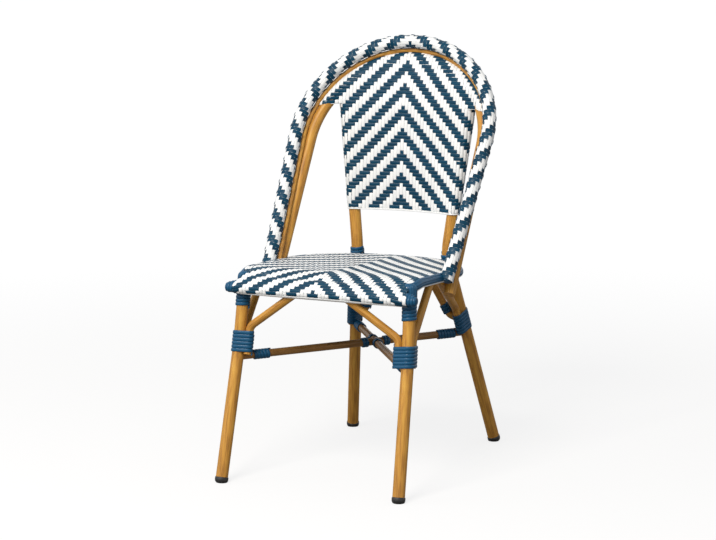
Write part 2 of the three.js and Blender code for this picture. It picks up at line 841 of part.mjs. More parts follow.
// Windings
function addWinding(name, plan) {
  addPiece(name, winding(name, plan), finishes.navyStrap);
}
for (const [word, side] of Object.entries(sides)) {
  addWinding("front_joint_wrap_" + word, jointWinding("front", frontLeg, side));
  addWinding("rear_joint_wrap_" + word, jointWinding("rear", rearLeg, side));
  const single = [[0, 0, legRadius]];
  addWinding(
    "leg_top_wrap_" + word,
    legWinding(frontLeg, side, legTopWindBottom, legTopTurns, single),
  );
  addWinding(
    "upright_wrap_" + word,
    legWinding(rearLeg, side, uprightWindBottom, uprightTurns, single),
  );
  const brace = [rearBraceElbow, braceTargets.rear].map((p) => mirrored(side, p));
  addWinding(
    "rear_brace_wrap_" + word,
    memberWinding(...brace, rearBraceWindStart, braceTurns, rodRadius, windRodSteps),
  );
  for (const end of ["front", "rear"]) {
    const corner = stretcherCorner(end, side);
    addWinding(
      "stretcher_wrap_" + end + "_" + word,
      memberWinding(
        corner,
        crossing,
        stretcherWindStart[end],
        stretcherTurns,
        stretcherRadius,
        windRodSteps,
      ),
    );
    addWinding(
      "crossing_wrap_" + end + "_" + word,
      memberWinding(
        crossing,
        corner,
        crossingWindStart,
        crossingTurns,
        stretcherRadius,
        windRodSteps,
      ),
    );
  }
}

// Woven skins come last, cut clear of everything that passes through them.
const tubesThrough = [grownRing, grownApron, grownInnerHoop, grownCane, grownSleeve, ...allLegs];
addPiece("seat_weave", seatWeave([...tubesThrough, ...grownRods]), finishes.wovenStrap);
addPiece(
  "back_weave",
  backWeave([grownInnerHoop, grownSleeve, grownCane, ...allLegs]),
  finishes.wovenStrap,
);
const grownSkin = tube(ringPoints, ringRadius + 2 * clearance + strapThickness, ringSides);
for (const [word, side] of Object.entries(sides)) {
  const cutters = [grownSkin, grownApron, ...allLegs];
  addPiece("corner_wrap_" + word, cornerWrap(side, cutters), finishes.navyStrap);
}

// The origin is on the floor under the middle of the chair's box.
const box = new THREE.Box3().setFromObject(chair);
const middle = box.getCenter(vec(0, 0, 0));
chair.position.set(-middle.x, -middle.y, -box.min.z);

export default chair;
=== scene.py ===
"""A bistro chair: cane-look tube frame, woven strap seat and back, braided hoop, bound joints.

Sizes are millimetres in the chair's own frame: x to the right, y backwards from the front feet,
z up from the floor. to_row() turns them into metres round the middle of the chair's box.
"""

import logging
import math
from collections.abc import Callable, Sequence
from dataclasses import dataclass
from enum import Enum
from itertools import product

import bpy
import numpy as np
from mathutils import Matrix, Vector

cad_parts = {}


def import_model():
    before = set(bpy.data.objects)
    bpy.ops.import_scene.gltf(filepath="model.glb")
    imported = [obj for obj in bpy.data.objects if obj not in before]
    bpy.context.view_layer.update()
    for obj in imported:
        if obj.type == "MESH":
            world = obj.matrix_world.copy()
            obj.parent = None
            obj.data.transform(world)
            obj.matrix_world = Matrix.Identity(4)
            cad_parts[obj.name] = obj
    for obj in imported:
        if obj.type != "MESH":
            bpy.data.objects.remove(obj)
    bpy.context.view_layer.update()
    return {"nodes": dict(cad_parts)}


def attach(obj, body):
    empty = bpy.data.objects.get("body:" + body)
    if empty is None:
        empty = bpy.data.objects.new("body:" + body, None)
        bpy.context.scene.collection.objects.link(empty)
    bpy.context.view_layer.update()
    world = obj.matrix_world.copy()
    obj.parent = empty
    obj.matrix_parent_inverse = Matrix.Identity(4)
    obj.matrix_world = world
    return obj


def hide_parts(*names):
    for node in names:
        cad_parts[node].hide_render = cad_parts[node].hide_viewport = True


Array = np.ndarray
LOG = logging.getLogger("bistro_chair")
MM = 0.001
BOX_MIDDLE_DEPTH = 299.0103
TUBE_SIDES = 32
ROD_SIDES = 24
CANE_SIDES = 20
BELOW, ABOVE = 1.0, 2.0
NEAREST_AT_ONCE = 4000
SHARP_DEGREES = 55
SLOPE_STEP = 0.04  # in cells, for a surface's normal


# --- points, paths and bodies -------------------------------------------------------------


def to_row(points: Array) -> Array:
    """Millimetres in the chair's frame as metres in the row frame."""
    return (points - np.array([0.0, BOX_MIDDLE_DEPTH, 0.0])) * MM


def unit(vectors: Array) -> Array:
    """The same directions at length one."""
    return vectors / np.maximum(np.linalg.norm(vectors, axis=-1, keepdims=True), 1e-12)


def turned_to(ways: Array, hint: Array) -> Array:
    """The ways, all turned round if on the whole they face away from the hint."""
    return ways if (ways * hint).sum() >= 0 else -ways


def mixed(low: Array, high: Array, share: Array) -> Array:
    """Between two values by a share."""
    return low + (high - low) * share


def smooth_share(value: Array, low: float, high: float) -> Array:
    """0 below low, 1 above high, and an S curve between."""
    share = np.clip((value - low) / (high - low), 0.0, 1.0)
    return share * share * (3 - 2 * share)


def point_at_height(path: Array, height: float) -> Array:
    """The point of a rising polyline at a height.

    Args:
        path: its points, each above the last.
        height: the height to look up, in millimetres.

    Returns:
        The point, on the line's own run beyond its ends.
    """
    k = int(np.clip(np.searchsorted(path[:, 2], height), 1, len(path) - 1))
    low, high = path[k - 1], path[k]
    return mixed(low, high, (height - low[2]) / (high[2] - low[2]))


def rounded_path(corners: Sequence[Sequence[float]], reach: float, steps: int = 10) -> Array:
    """A polyline whose inner corners are rounded over a reach on both sides.

    Args:
        corners: the corner points.
        reach: how far before and after a corner its bend runs.
        steps: how many steps a bend takes.

    Returns:
        The path's points.
    """
    corners = [np.asarray(c, float) for c in corners]
    points = [corners[0]]
    for before, corner, after in zip(corners, corners[1:], corners[2:]):
        start = corner + unit(before - corner) * reach
        end = corner + unit(after - corner) * reach
        for t in np.linspace(0, 1, steps + 1):
            points.append((1 - t) ** 2 * start + 2 * t * (1 - t) * corner + t * t * end)
    points.append(corners[-1])
    return np.array(points)


def run_lengths(path: Array) -> Array:
    """Each point's distance along its path."""
    return np.concatenate([[0.0], np.cumsum(np.linalg.norm(np.diff(path, axis=0), axis=1))])


def looked_up(at: Array, grid: Array, rows: Array) -> Array:
    """Rows of values, interpolated at places on a grid."""
    return np.stack([np.interp(at, grid, column) for column in rows.T], axis=1)


def resampled(path: Array, step: float) -> Array:
    """The path in even steps.

    Args:
        path: its points.
        step: about how long a step is.

    Returns:
        The points at the steps.
    """
    run = run_lengths(path)
    at = np.linspace(0, run[-1], max(2, int(round(run[-1] / step)) + 1))
    return looked_up(at, run, path)


def nearest_on_line(line: Array, at: Array) -> tuple[Array, Array, Array]:
    """The nearest places on a polyline in a plane.

    Args:
        line: its points.
        at: the points that they are nearest to.

    Returns:
        The number of the run that each place lies on, its share of that run, and the place.
    """
    start, leg = line[:-1], np.diff(line, axis=0)
    runs, shares, places = [], [], []
    for part in np.array_split(at, len(at) // NEAREST_AT_ONCE + 1):
        share = ((part[:, None] - start) * leg).sum(2) / (leg**2).sum(1)
        share = np.clip(share, 0, 1)
        foot = start + share[..., None] * leg
        best = ((part[:, None] - foot) ** 2).sum(2).argmin(1)
        rows = np.arange(len(best))
        runs.append(best)
        shares.append(share[rows, best])
        places.append(foot[rows, best])
    return np.concatenate(runs), np.concatenate(shares), np.concatenate(places)


def tangents(path: Array) -> Array:
    """The unit direction of a path at each of its points."""
    return unit(np.gradient(path, axis=0))


def carried_frames(path: Array, hint: Sequence[float]) -> tuple[Array, Array]:
    """Two directions across a path that turn as little as they can along it.

    Args:
        path: its points.
        hint: about where the first direction points at the start.

    Returns:
        The first and second direction at each point.
    """
    along = tangents(path)
    first = np.empty_like(along)
    last = np.asarray(hint, float)
    for k, t in enumerate(along):
        last = unit(last - t * last.dot(t))
        first[k] = last
    return first, np.cross(along, first)


@dataclass
class Body:
    """Closed shells of quads, with what their finish reads at each point.

    lay holds a point's place on its tube or strap: across it, across it the other way, and
    along it. tone is a random share for each strap, and part names a region of a weave.
    """

    points: Array
    quads: Array
    lay: Array
    tone: Array
    part: Array | None = None

    def outward(self) -> "Body":
        """Turns the body's faces outwards.

        Returns:
            The same body.
        """
        a, b, c, d = (self.points[self.quads[:, k]] for k in range(4))
        volume = np.einsum("ij,ij->", a, np.cross(b, c) + np.cross(c, d))
        if volume < 0:
            self.quads = self.quads[:, ::-1].copy()
        return self


def joined(bodies: Sequence[Body]) -> Body:
    """Several bodies as one.

    Args:
        bodies: the bodies, which are turned outwards.

    Returns:
        The whole.
    """
    start = np.cumsum([0] + [len(b.points) for b in bodies])
    return Body(
        np.concatenate([b.points for b in bodies]),
        np.concatenate([b.outward().quads + s for b, s in zip(bodies, start)]),
        np.concatenate([b.lay for b in bodies]),
        np.concatenate([b.tone for b in bodies]),
    )


def lofted(rings: Array, lay: Array, tone: float = 0.5) -> Body:
    """A closed body through rings that have the same even number of points.

    Args:
        rings: points by ring, place in the ring and axis.
        lay: the same for the finish.
        tone: the tone of the whole body.

    Returns:
        The body, closed at both ends.
    """
    count, sides = rings.shape[:2]
    index = np.arange(count * sides).reshape(count, sides)
    following = np.roll(index, -1, axis=1)
    walls = np.stack([index[:-1], following[:-1], following[1:], index[1:]], axis=-1)
    cap = np.array([(i, i + 1, sides - 2 - i, sides - 1 - i) for i in range(sides // 2 - 1)])
    quads = np.concatenate([walls.reshape(-1, 4), cap[:, ::-1], cap + index[-1, 0]])
    flat = rings.reshape(-1, 3)
    return Body(flat, quads, lay.reshape(-1, 3), np.full(len(flat), tone)).outward()


def circle(radius: float, sides: int) -> Array:
    """The points of a round section."""
    angle = np.linspace(0, 2 * math.pi, sides, endpoint=False)
    return radius * np.stack([np.cos(angle), np.sin(angle)], axis=1)


def swept(
    path: Array,
    section: Array,
    hint: Sequence[float] = (0.0, 0.0, 1.0),
    frames: tuple[Array, Array] | None = None,
    tone: float = 0.5,
) -> Body:
    """A section run along a path.

    Args:
        path: the path's points.
        section: the section's points, along the first and second direction across the path.
        hint: about where the first direction points, if frames isn't given.
        frames: the two directions at each point.
        tone: the tone of the whole body.

    Returns:
        The closed body.
    """
    first, second = frames or carried_frames(path, hint)
    run = run_lengths(path)
    rings = (
        path[:, None]
        + first[:, None] * section[None, :, :1]
        + second[:, None] * section[None, :, 1:]
    )
    lay = np.empty_like(rings)
    lay[..., :2] = section[None]
    lay[..., 2] = run[:, None]
    return lofted(rings, lay, tone)


def lathed(profile: Array, foot: Array, up: Array, sides: int) -> Array:
    """Rings round an axis.

    Args:
        profile: the radius and height of each ring.
        foot: where the heights start.
        up: the axis.
        sides: the number of points in a ring.

    Returns:
        Points by ring, place in the ring and axis.
    """
    across = unit(np.cross(up, (0.0, 1.0, 0.0)))
    depth = np.cross(up, across)
    around = circle(1.0, sides)
    ring = around[:, :1] * across + around[:, 1:] * depth
    return np.array([foot + ring * radius + up * height for radius, height in profile])


def strap_section(width: float, thickness: float) -> Array:
    """A strap's section, with rounded edges.

    Args:
        width: its width, along the section's first axis.
        thickness: its thickness, outwards.

    Returns:
        Its points.
    """
    shape = [(-0.5, -0.1), (-0.41, 0.36), (-0.2, 0.5), (0.2, 0.5)]
    shape += [(0.41, 0.36), (0.5, -0.1), (0.36, -0.5), (-0.36, -0.5)]
    return np.array(shape) * (width, thickness)


# --- objects and nodes --------------------------------------------------------------------


def linear(hex_colour: str) -> tuple[float, float, float, float]:
    """An sRGB hex value as a linear colour with full alpha.

    Args:
        hex_colour: six digits after a #.

    Returns:
        Red, green, blue and alpha.
    """
    channels = [int(hex_colour[k : k + 2], 16) / 255 for k in (1, 3, 5)]
    turned = [c / 12.92 if c <= 0.04045 else ((c + 0.055) / 1.055) ** 2.4 for c in channels]
    return (*turned, 1.0)


def add_node(
    tree: bpy.types.NodeTree,
    kind: str,
    settings: dict | None = None,
    inputs: dict | None = None,
) -> bpy.types.Node:
    """Adds a node with its settings and links.

    Args:
        tree: the tree it goes into.
        kind: Blender's name for the kind of node.
        settings: properties by name.
        inputs: a constant or a socket to link from, by the input's name or number.

    Returns:
        The node.
    """
    node = tree.nodes.new(kind)
    for name, value in (settings or {}).items():
        setattr(node, name, value)
    for key, value in (inputs or {}).items():
        if isinstance(value, bpy.types.NodeSocket):
            tree.links.new(value, node.inputs[key])
        else:
            node.inputs[key].default_value = value
    return node


def add_object(name: str, data: bpy.types.ID) -> bpy.types.Object:
    """An object in the scene.

    Args:
        name: its name.
        data: its mesh, lamp or camera.

    Returns:
        The object.
    """
    obj = bpy.data.objects.new(name, data)
    bpy.context.scene.collection.objects.link(obj)
    return obj


def mesh_object(name: str, points: Array, quads: Array | None = None) -> bpy.types.Object:
    """A mesh object at the origin.

    Args:
        name: the object's name.
        points: its points, as Blender counts them.
        quads: its faces, or None for points alone.

    Returns:
        The object.
    """
    mesh = bpy.data.meshes.new(name)
    mesh.vertices.add(len(points))
    mesh.vertices.foreach_set("co", points.astype(np.float32).ravel())
    if quads is not None:
        mesh.loops.add(quads.size)
        mesh.loops.foreach_set("vertex_index", quads.astype(np.int32).ravel())
        mesh.polygons.add(len(quads))
        starts = np.arange(len(quads), dtype=np.int32) * 4
        mesh.polygons.foreach_set("loop_start", starts)
    mesh.update(calc_edges=True)
    return add_object(name, mesh)


def put_attribute(mesh: bpy.types.Mesh, name: str, values: Array) -> None:
    """Stores a value or a vector for each point of a mesh."""
    kind, key = ("FLOAT_VECTOR", "vector") if values.ndim == 2 else ("FLOAT", "value")
    stored = mesh.attributes.new(name, kind, "POINT").data
    stored.foreach_set(key, values.astype(np.float32).ravel())


def get_attribute(mesh: bpy.types.Mesh, name: str, width: int) -> Array:
    """Reads a value or a vector for each point of a mesh.

    Args:
        mesh: the mesh.
        name: the attribute's name.
        width: 3 for vectors, or else 1.

    Returns:
        Rows of the given width.
    """
    values = np.empty(len(mesh.vertices) * width, np.float32)
    mesh.attributes[name].data.foreach_get("vector" if width == 3 else "value", values)
    return values.reshape(-1, width).astype(float)


def add_piece(
    name: str, body: Body, material: bpy.types.Material, nodes: Sequence[str]
) -> None:
    """A finished piece that rides on the chair and stands for CAD nodes.

    Args:
        name: the piece's name.
        body: its shape, in millimetres in the chair's frame.
        material: its finish.
        nodes: the CAD nodes it replaces.
    """
    obj = mesh_object(name, to_row(body.points), body.quads)
    put_attribute(obj.data, "lay", body.lay * MM)
    put_attribute(obj.data, "tone", body.tone)
    obj.data.shade_smooth()
    obj.data.set_sharp_from_angle(angle=math.radians(SHARP_DEGREES))
    obj.data.materials.append(material)
    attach(obj, "root")
    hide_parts(*nodes)
    LOG.info("%s: %d quads", name, len(body.quads))


# --- finishes -----------------------------------------------------------------------------


class Slot(str, Enum):
    """The record's material slots."""

    CANE_TUBE = "cane_finish_tube"
    STRETCHER = "stretcher_tube"
    WOVEN = "woven_strap"
    NAVY = "navy_strap"
    GLIDE = "black_glide"


def new_material(name: str, values: dict[str, float]) -> bpy.types.Material:
    """A material with constants on its Principled shader.

    Args:
        name: the material's name.
        values: the constants by the name of their input.

    Returns:
        The material.
    """
    material = bpy.data.materials.new(name)
    material.use_nodes = True
    for key, value in values.items():
        material.node_tree.nodes["Principled BSDF"].inputs[key].default_value = value
    return material


def noise(
    tree: bpy.types.NodeTree, place: bpy.types.NodeSocket, detail: float, **inputs: float
) -> bpy.types.NodeSocket:
    """The value of a noise texture.

    Args:
        tree: the material's tree.
        place: where the noise is looked up.
        detail: its number of octaves.
        inputs: its scale and roughness, where they aren't 1 and 0.5.

    Returns:
        The value's socket.
    """
    given = {"Vector": place, "Detail": detail, "Scale": 1.0, "Roughness": 0.5}
    given |= {name.capitalize(): value for name, value in inputs.items()}
    return add_node(tree, "ShaderNodeTexNoise", None, given).outputs[0]


def along_strands(tree: bpy.types.NodeTree, width: float, length: float) -> bpy.types.NodeSocket:
    """A body's own lay, stretched so that noise on it lies along a tube or strap.

    Args:
        tree: the material's tree.
        width: the noise's size across, in millimetres.
        length: its size along.

    Returns:
        The place's socket.
    """
    lay = add_node(tree, "ShaderNodeAttribute", {"attribute_name": "lay"})
    scales = (1 / (width * MM), 1 / (width * MM), 1 / (length * MM))
    inputs = {0: lay.outputs["Vector"], 1: scales}
    return add_node(tree, "ShaderNodeVectorMath", {"operation": "MULTIPLY"}, inputs).outputs[0]


def colour_steps(
    tree: bpy.types.NodeTree, share: bpy.types.NodeSocket, steps: Sequence[tuple[float, str]]
) -> bpy.types.NodeSocket:
    """A colour that runs through steps.

    Args:
        tree: the material's tree.
        share: what picks the colour.
        steps: each colour's place and sRGB hex value: the first, the last, then the middle ones.

    Returns:
        The colour's socket.
    """
    ramp = add_node(tree, "ShaderNodeValToRGB", None, {0: share})
    stops = ramp.color_ramp.elements
    for stop, (place, colour) in zip(stops, steps):
        stop.position, stop.color = place, linear(colour)
    for place, colour in steps[2:]:
        stops.new(place).color = linear(colour)
    return ramp.outputs[0]


def finish(
    material: bpy.types.Material,
    colour: bpy.types.NodeSocket,
    height: bpy.types.NodeSocket,
    relief: tuple[float, float],
    rough: tuple[float, float] | None = None,
) -> bpy.types.Material:
    """Links a material's colour, relief and roughness.

    Args:
        material: the material.
        colour: its colour.
        height: the noise that gives the relief.
        relief: the relief's height in metres, and its strength.
        rough: the roughness at the noise's low and high end, if it varies.

    Returns:
        The material.
    """
    tree = material.node_tree
    shader = tree.nodes["Principled BSDF"]
    bump = {"Height": height, "Distance": relief[0], "Strength": relief[1]}
    tree.links.new(colour, shader.inputs["Base Color"])
    tree.links.new(add_node(tree, "ShaderNodeBump", None, bump).outputs[0], shader.inputs["Normal"])
    if rough:
        spread = add_node(tree, "ShaderNodeMapRange", None, {0: height, 3: rough[0], 4: rough[1]})
        tree.links.new(spread.outputs[0], shader.inputs["Roughness"])
    return material


@dataclass(frozen=True)
class CaneLookCoating:
    """Aluminium tube with a cane-look coating, rubbed along the tube.

    The eye sees a warm satin brown with fine darker fibres that run along the tube, and slow
    changes of tone along it.
    """

    name: str
    pale: str
    middle: str
    dark: str
    places: tuple[float, float, float] = (0.34, 0.64, 0.5)
    roughness: tuple[float, float] = (0.34, 0.48)
    fibres: tuple[float, float] = (1.6, 70.0)
    clouds: tuple[float, float] = (9.0, 55.0)
    cloud_share: float = 0.42
    relief: tuple[float, float] = (0.00012, 0.35)

    def material(self) -> bpy.types.Material:
        """Builds the finish from the tube's own attribute.

        Returns:
            The material.
        """
        shine = {"Specular IOR Level": 0.3, "Coat Weight": 0.12, "Coat Roughness": 0.25}
        material = new_material(self.name, shine)
        tree = material.node_tree
        fibres = noise(tree, along_strands(tree, *self.fibres), 5.0, roughness=0.62)
        clouds = noise(tree, along_strands(tree, *self.clouds), 2.0)
        both = {0: self.cloud_share, 2: fibres, 3: clouds}
        share = add_node(tree, "ShaderNodeMix", {"data_type": "FLOAT"}, both).outputs[0]
        steps = list(zip(self.places, (self.dark, self.pale, self.middle)))
        colour = colour_steps(tree, share, steps)
        return finish(material, colour, fibres, self.relief, self.roughness)


@dataclass(frozen=True)
class ExtrudedStrap:
    """Flat polyethylene strap, extruded, so fine lines run along it under a satin skin.

    The eye sees one dyed colour that changes a little from strap to strap and along its lines,
    with a soft stretched highlight.
    """

    name: str
    colour: str
    faded: str
    roughness: float = 0.4
    gloss: float = 0.3
    lines: tuple[float, float] = (0.7, 40.0)
    line_share: float = 0.35
    relief: tuple[float, float] = (0.0001, 0.3)
    roughness_spread: float = 0.07
    shift: float = 37.0

    def material(self) -> bpy.types.Material:
        """Builds the finish from the strap's own attributes.

        Returns:
            The material.
        """
        material = new_material(self.name, {"IOR": 1.5, "Specular IOR Level": self.gloss})
        tree = material.node_tree
        tone = add_node(tree, "ShaderNodeAttribute", {"attribute_name": "tone"})
        along = along_strands(tree, *self.lines)
        moved = {0: tone.outputs["Vector"], 1: (self.shift,) * 3, 2: along}
        place = add_node(tree, "ShaderNodeVectorMath", {"operation": "MULTIPLY_ADD"}, moved)
        lines = noise(tree, place.outputs[0], 3.0)
        both = {0: self.line_share, 2: tone.outputs["Fac"], 3: lines}
        share = add_node(tree, "ShaderNodeMix", {"data_type": "FLOAT"}, both).outputs[0]
        dye = {0: share, 6: linear(self.colour), 7: linear(self.faded)}
        dyed = add_node(tree, "ShaderNodeMix", {"data_type": "RGBA"}, dye).outputs[2]
        rough = self.roughness - self.roughness_spread, self.roughness + self.roughness_spread
        return finish(material, dyed, lines, self.relief, rough)


@dataclass(frozen=True)
class MouldedPolyamide:
    """Black polyamide glide, moulded with a fine spark-eroded grain and scuffed by the floor."""

    name: str = "moulded black polyamide"
    colour: str = "#1B1B1C"
    scuffed: str = "#2E2D2C"
    grain: float = 0.5
    scuff_scale: float = 160.0
    relief: tuple[float, float] = (0.0001, 0.5)

    def material(self) -> bpy.types.Material:
        """Builds the finish from Object coordinates.

        Returns:
            The material.
        """
        material = new_material(self.name, {"Roughness": 0.5})
        tree = material.node_tree
        place = add_node(tree, "ShaderNodeTexCoord").outputs["Object"]
        grain = noise(tree, place, 1.0, scale=1 / (self.grain * MM))
        scuffs = noise(tree, place, 6.0, scale=self.scuff_scale)
        colour = colour_steps(tree, scuffs, ((0.5, self.colour), (0.75, self.scuffed)))
        return finish(material, colour, grain, self.relief)


@dataclass(frozen=True)
class Finishes:
    """Every finish of the chair."""

    tube: bpy.types.Material
    rod: bpy.types.Material
    navy: bpy.types.Material
    # weft is the same navy strap as navy, darker as painted shade for the woven navy; navy is its
    # lighter copy, painted light for the windings.
    weft: bpy.types.Material
    white: bpy.types.Material
    # core is a grey sheet under the woven straps whose colour is painted shade in the gaps between
    # them.
    core: bpy.types.Material
    glide: bpy.types.Material

    @classmethod
    def make(cls) -> "Finishes":
        """Builds the materials.

        Returns:
            All of them.
        """
        finishes = {
            "tube": CaneLookCoating("cane-look coated aluminium", "#D8A548", "#C38B39", "#8B5D28"),
            "rod": CaneLookCoating("cane-look coated rod", "#A8773B", "#8E6532", "#614321"),
            # navy and weft are one navy strap in two copies: navy is lighter as painted light on
            # the windings, weft is darker as painted shade in the weave.
            "navy": ExtrudedStrap("extruded strap, navy", "#0F476A", "#155578", 0.36, 0.3),
            "weft": ExtrudedStrap("extruded strap, navy weft", "#02344C", "#08425B", 0.4, 0.18),
            "white": ExtrudedStrap("extruded strap, white", "#F7F8F7", "#E9ECEC", 0.42, 0.3),
            # Painted shade: the grey that shows in the gaps between the woven straps.
            "core": ExtrudedStrap("strap edge, shaded", "#7F8E98", "#95A2AA", 0.6, 0.2),
            "glide": MouldedPolyamide(),
        }
        return cls(**{name: each.material() for name, each in finishes.items()})


# --- the chair's plan ---------------------------------------------------------------------


@dataclass(frozen=True)
class Hoop:
    """A bent tube in a plane that leans back: a half circle on two legs that may draw in."""

    bend: float
    top: float
    base_depth: float
    lean: float
    draw_in: float
    base_height: float = 450.0

    @property
    def rise(self) -> float:
        """How much height a unit of length in the hoop's plane gains."""
        return math.cos(math.atan(self.lean))

    @property
    def centre_height(self) -> float:
        """The height of the bend's centre."""
        return self.top - self.bend * self.rise

    def place(self, x: Array, up: Array) -> Array:
        """Points from places in the hoop's plane, up from the bend's centre."""
        z = self.centre_height + up * self.rise
        y = self.base_depth + self.lean * (z - self.base_height)
        return np.stack([x, y, z], axis=-1)

    def path(
        self, foot: float, inset: float = 0.0, behind: float = 0.0, step: float = 4.0
    ) -> Array:
        """The hoop's centre line, from its left foot over the top to its right foot.

        Args:
            foot: the height at which its legs end.
            inset: how far inside the hoop the line runs.
            behind: how far behind the hoop's plane it runs.
            step: the length of a step.

        Returns:
            Its points.
        """
        radius = self.bend - inset
        start = math.atan(self.draw_in)
        drop = radius * math.sin(start)
        run = (self.centre_height - foot) / self.rise - drop
        foot_x = radius * math.cos(start) - run * self.draw_in
        angle = np.linspace(math.pi + start, -start, 241)
        x = np.concatenate([[-foot_x], radius * np.cos(angle), [foot_x]])
        up = np.concatenate([[-run - drop], radius * np.sin(angle), [-run - drop]])
        lean = math.atan(self.lean)
        away = np.array([0.0, math.cos(lean), -math.sin(lean)]) * behind
        return resampled(self.place(x, up) + away, step)


@dataclass(frozen=True)
class ChairPlan:
    """The sizes that several sub-assemblies share, and the lines that they give."""

    leg_radius: float = 13.0
    glide_height: float = 12.0
    front_foot: tuple[float, float, float] = (203.8, 0.0, 0.0)
    front_joint: tuple[float, float, float] = (194.4, 68.8, 286.0)
    front_top: tuple[float, float] = (189.4, 88.5)
    rear_foot: tuple[float, float, float] = (176.8, 598.5, 0.0)
    rear_bend: tuple[float, float, float] = (107.5, 476.0, 436.0)
    bend_reach: float = 34.0
    upright_top: float = 802.0
    ring_radius: float = 8.5
    ring_half_width: float = 193.5
    ring_front: float = 72.0
    front_bow: float = 7.0
    bow_half_width: float = 193.0
    ring_droop: float = 15.6
    ring_droop_depth: float = 130.0
    ring_rear: float = 467.5
    ring_front_corner: float = 36.5
    ring_rear_corner: float = 170.5
    ring_front_height: float = 435.6
    ring_rear_height: float = 418.0
    ring_counts: tuple[int, int, int] = (61, 41, 30)
    ring_step: float = 5.0
    rail_radius: float = 8.0
    rail_depth: float = 58.0
    rail_height: float = 408.0
    outer: Hoop = Hoop(226.5, 899.5, 250.0, 0.63, 0.054)
    inner: Hoop = Hoop(204.5, 860.0, 295.5, 0.6, 0.0)

    def ring_height(self, y: Array) -> Array:
        """The height of the seat ring's centre, which droops towards the front.

        Args:
            y: the depths to look up.

        Returns:
            The height at each.
        """
        share = (y - self.ring_front) / (self.ring_rear - self.ring_front)
        reach = self.ring_droop_depth - self.ring_front
        droop = np.clip((self.ring_droop_depth - y) / reach, 0, 1) ** 2
        height = mixed(self.ring_front_height, self.ring_rear_height, share)
        return height - self.ring_droop * droop

    def bow(self, x: Array) -> Array:
        """How far the front rail and the ring's front bow forward at a place across."""
        return self.front_bow * np.maximum(1 - (x / self.bow_half_width) ** 2, 0)

    def ring_plan(self) -> Array:
        """The ring's closed centre line in plan.

        Returns:
            Its points, from the middle of the rear clockwise.
        """
        front_x = self.ring_half_width - self.ring_front_corner
        rear_x = self.ring_half_width - self.ring_rear_corner
        front_y = self.ring_front + self.ring_front_corner
        rear_y = self.ring_rear - self.ring_rear_corner
        arcs = []
        rear_count, front_count, half_front_count = self.ring_counts
        for start, radius, middle, count in (
            (math.pi / 2, self.ring_rear_corner, (rear_x, rear_y), rear_count),
            (0.0, self.ring_front_corner, (front_x, front_y), front_count),
        ):
            turn = np.linspace(start, start - math.pi / 2, count)
            arcs.append(np.stack([np.cos(turn), np.sin(turn)], 1) * radius + middle)
        rear_arc, front_arc = arcs
        x = np.linspace(front_x, 0, half_front_count)[1:]
        front_arc[:, 1] -= self.bow(front_arc[:, 0]) * np.linspace(0, 1, len(front_arc))
        front = np.stack([x, self.ring_front - self.bow(x)], 1)
        half = np.concatenate([[[0.0, self.ring_rear]], rear_arc, front_arc, front])
        whole = np.concatenate([half, half[-2::-1] * (-1, 1)])
        return resampled(whole, self.ring_step)

    def ring_path(self) -> Array:
        """The ring's closed centre line."""
        plan = self.ring_plan()
        return np.column_stack([plan, self.ring_height(plan[:, 1])])

    def inner_hoop_at(self, z: float) -> Array:
        """The inner hoop's right half at a height above its bend's centre."""
        up = (z - self.inner.centre_height) / self.inner.rise
        return self.inner.place(math.sqrt(max(self.inner.bend**2 - up**2, 0)), up)

    def legs(self) -> dict[str, Array]:
        """The centre lines of the right half's legs.

        Returns:
            The front one, and the rear one up to the inner hoop.
        """
        x, y = self.front_top
        front = [self.front_foot, self.front_joint, (x, y, self.ring_height(y))]
        rear = [self.rear_foot, self.rear_bend, self.inner_hoop_at(self.upright_top)]
        lines = {"front": front, "rear": rear}
        return {word: rounded_path(line, self.bend_reach) for word, line in lines.items()}


class Side(Enum):
    """The chair's two halves, by the sign of x."""

    LEFT = -1
    RIGHT = 1

    @property
    def word(self) -> str:
        """The half's name in a node's name."""
        return self.name.lower()

    def of(self, points: Array) -> Array:
        """Points of the right half as points of this one."""
        return np.asarray(points) * (self.value, 1, 1)


# --- windings -----------------------------------------------------------------------------


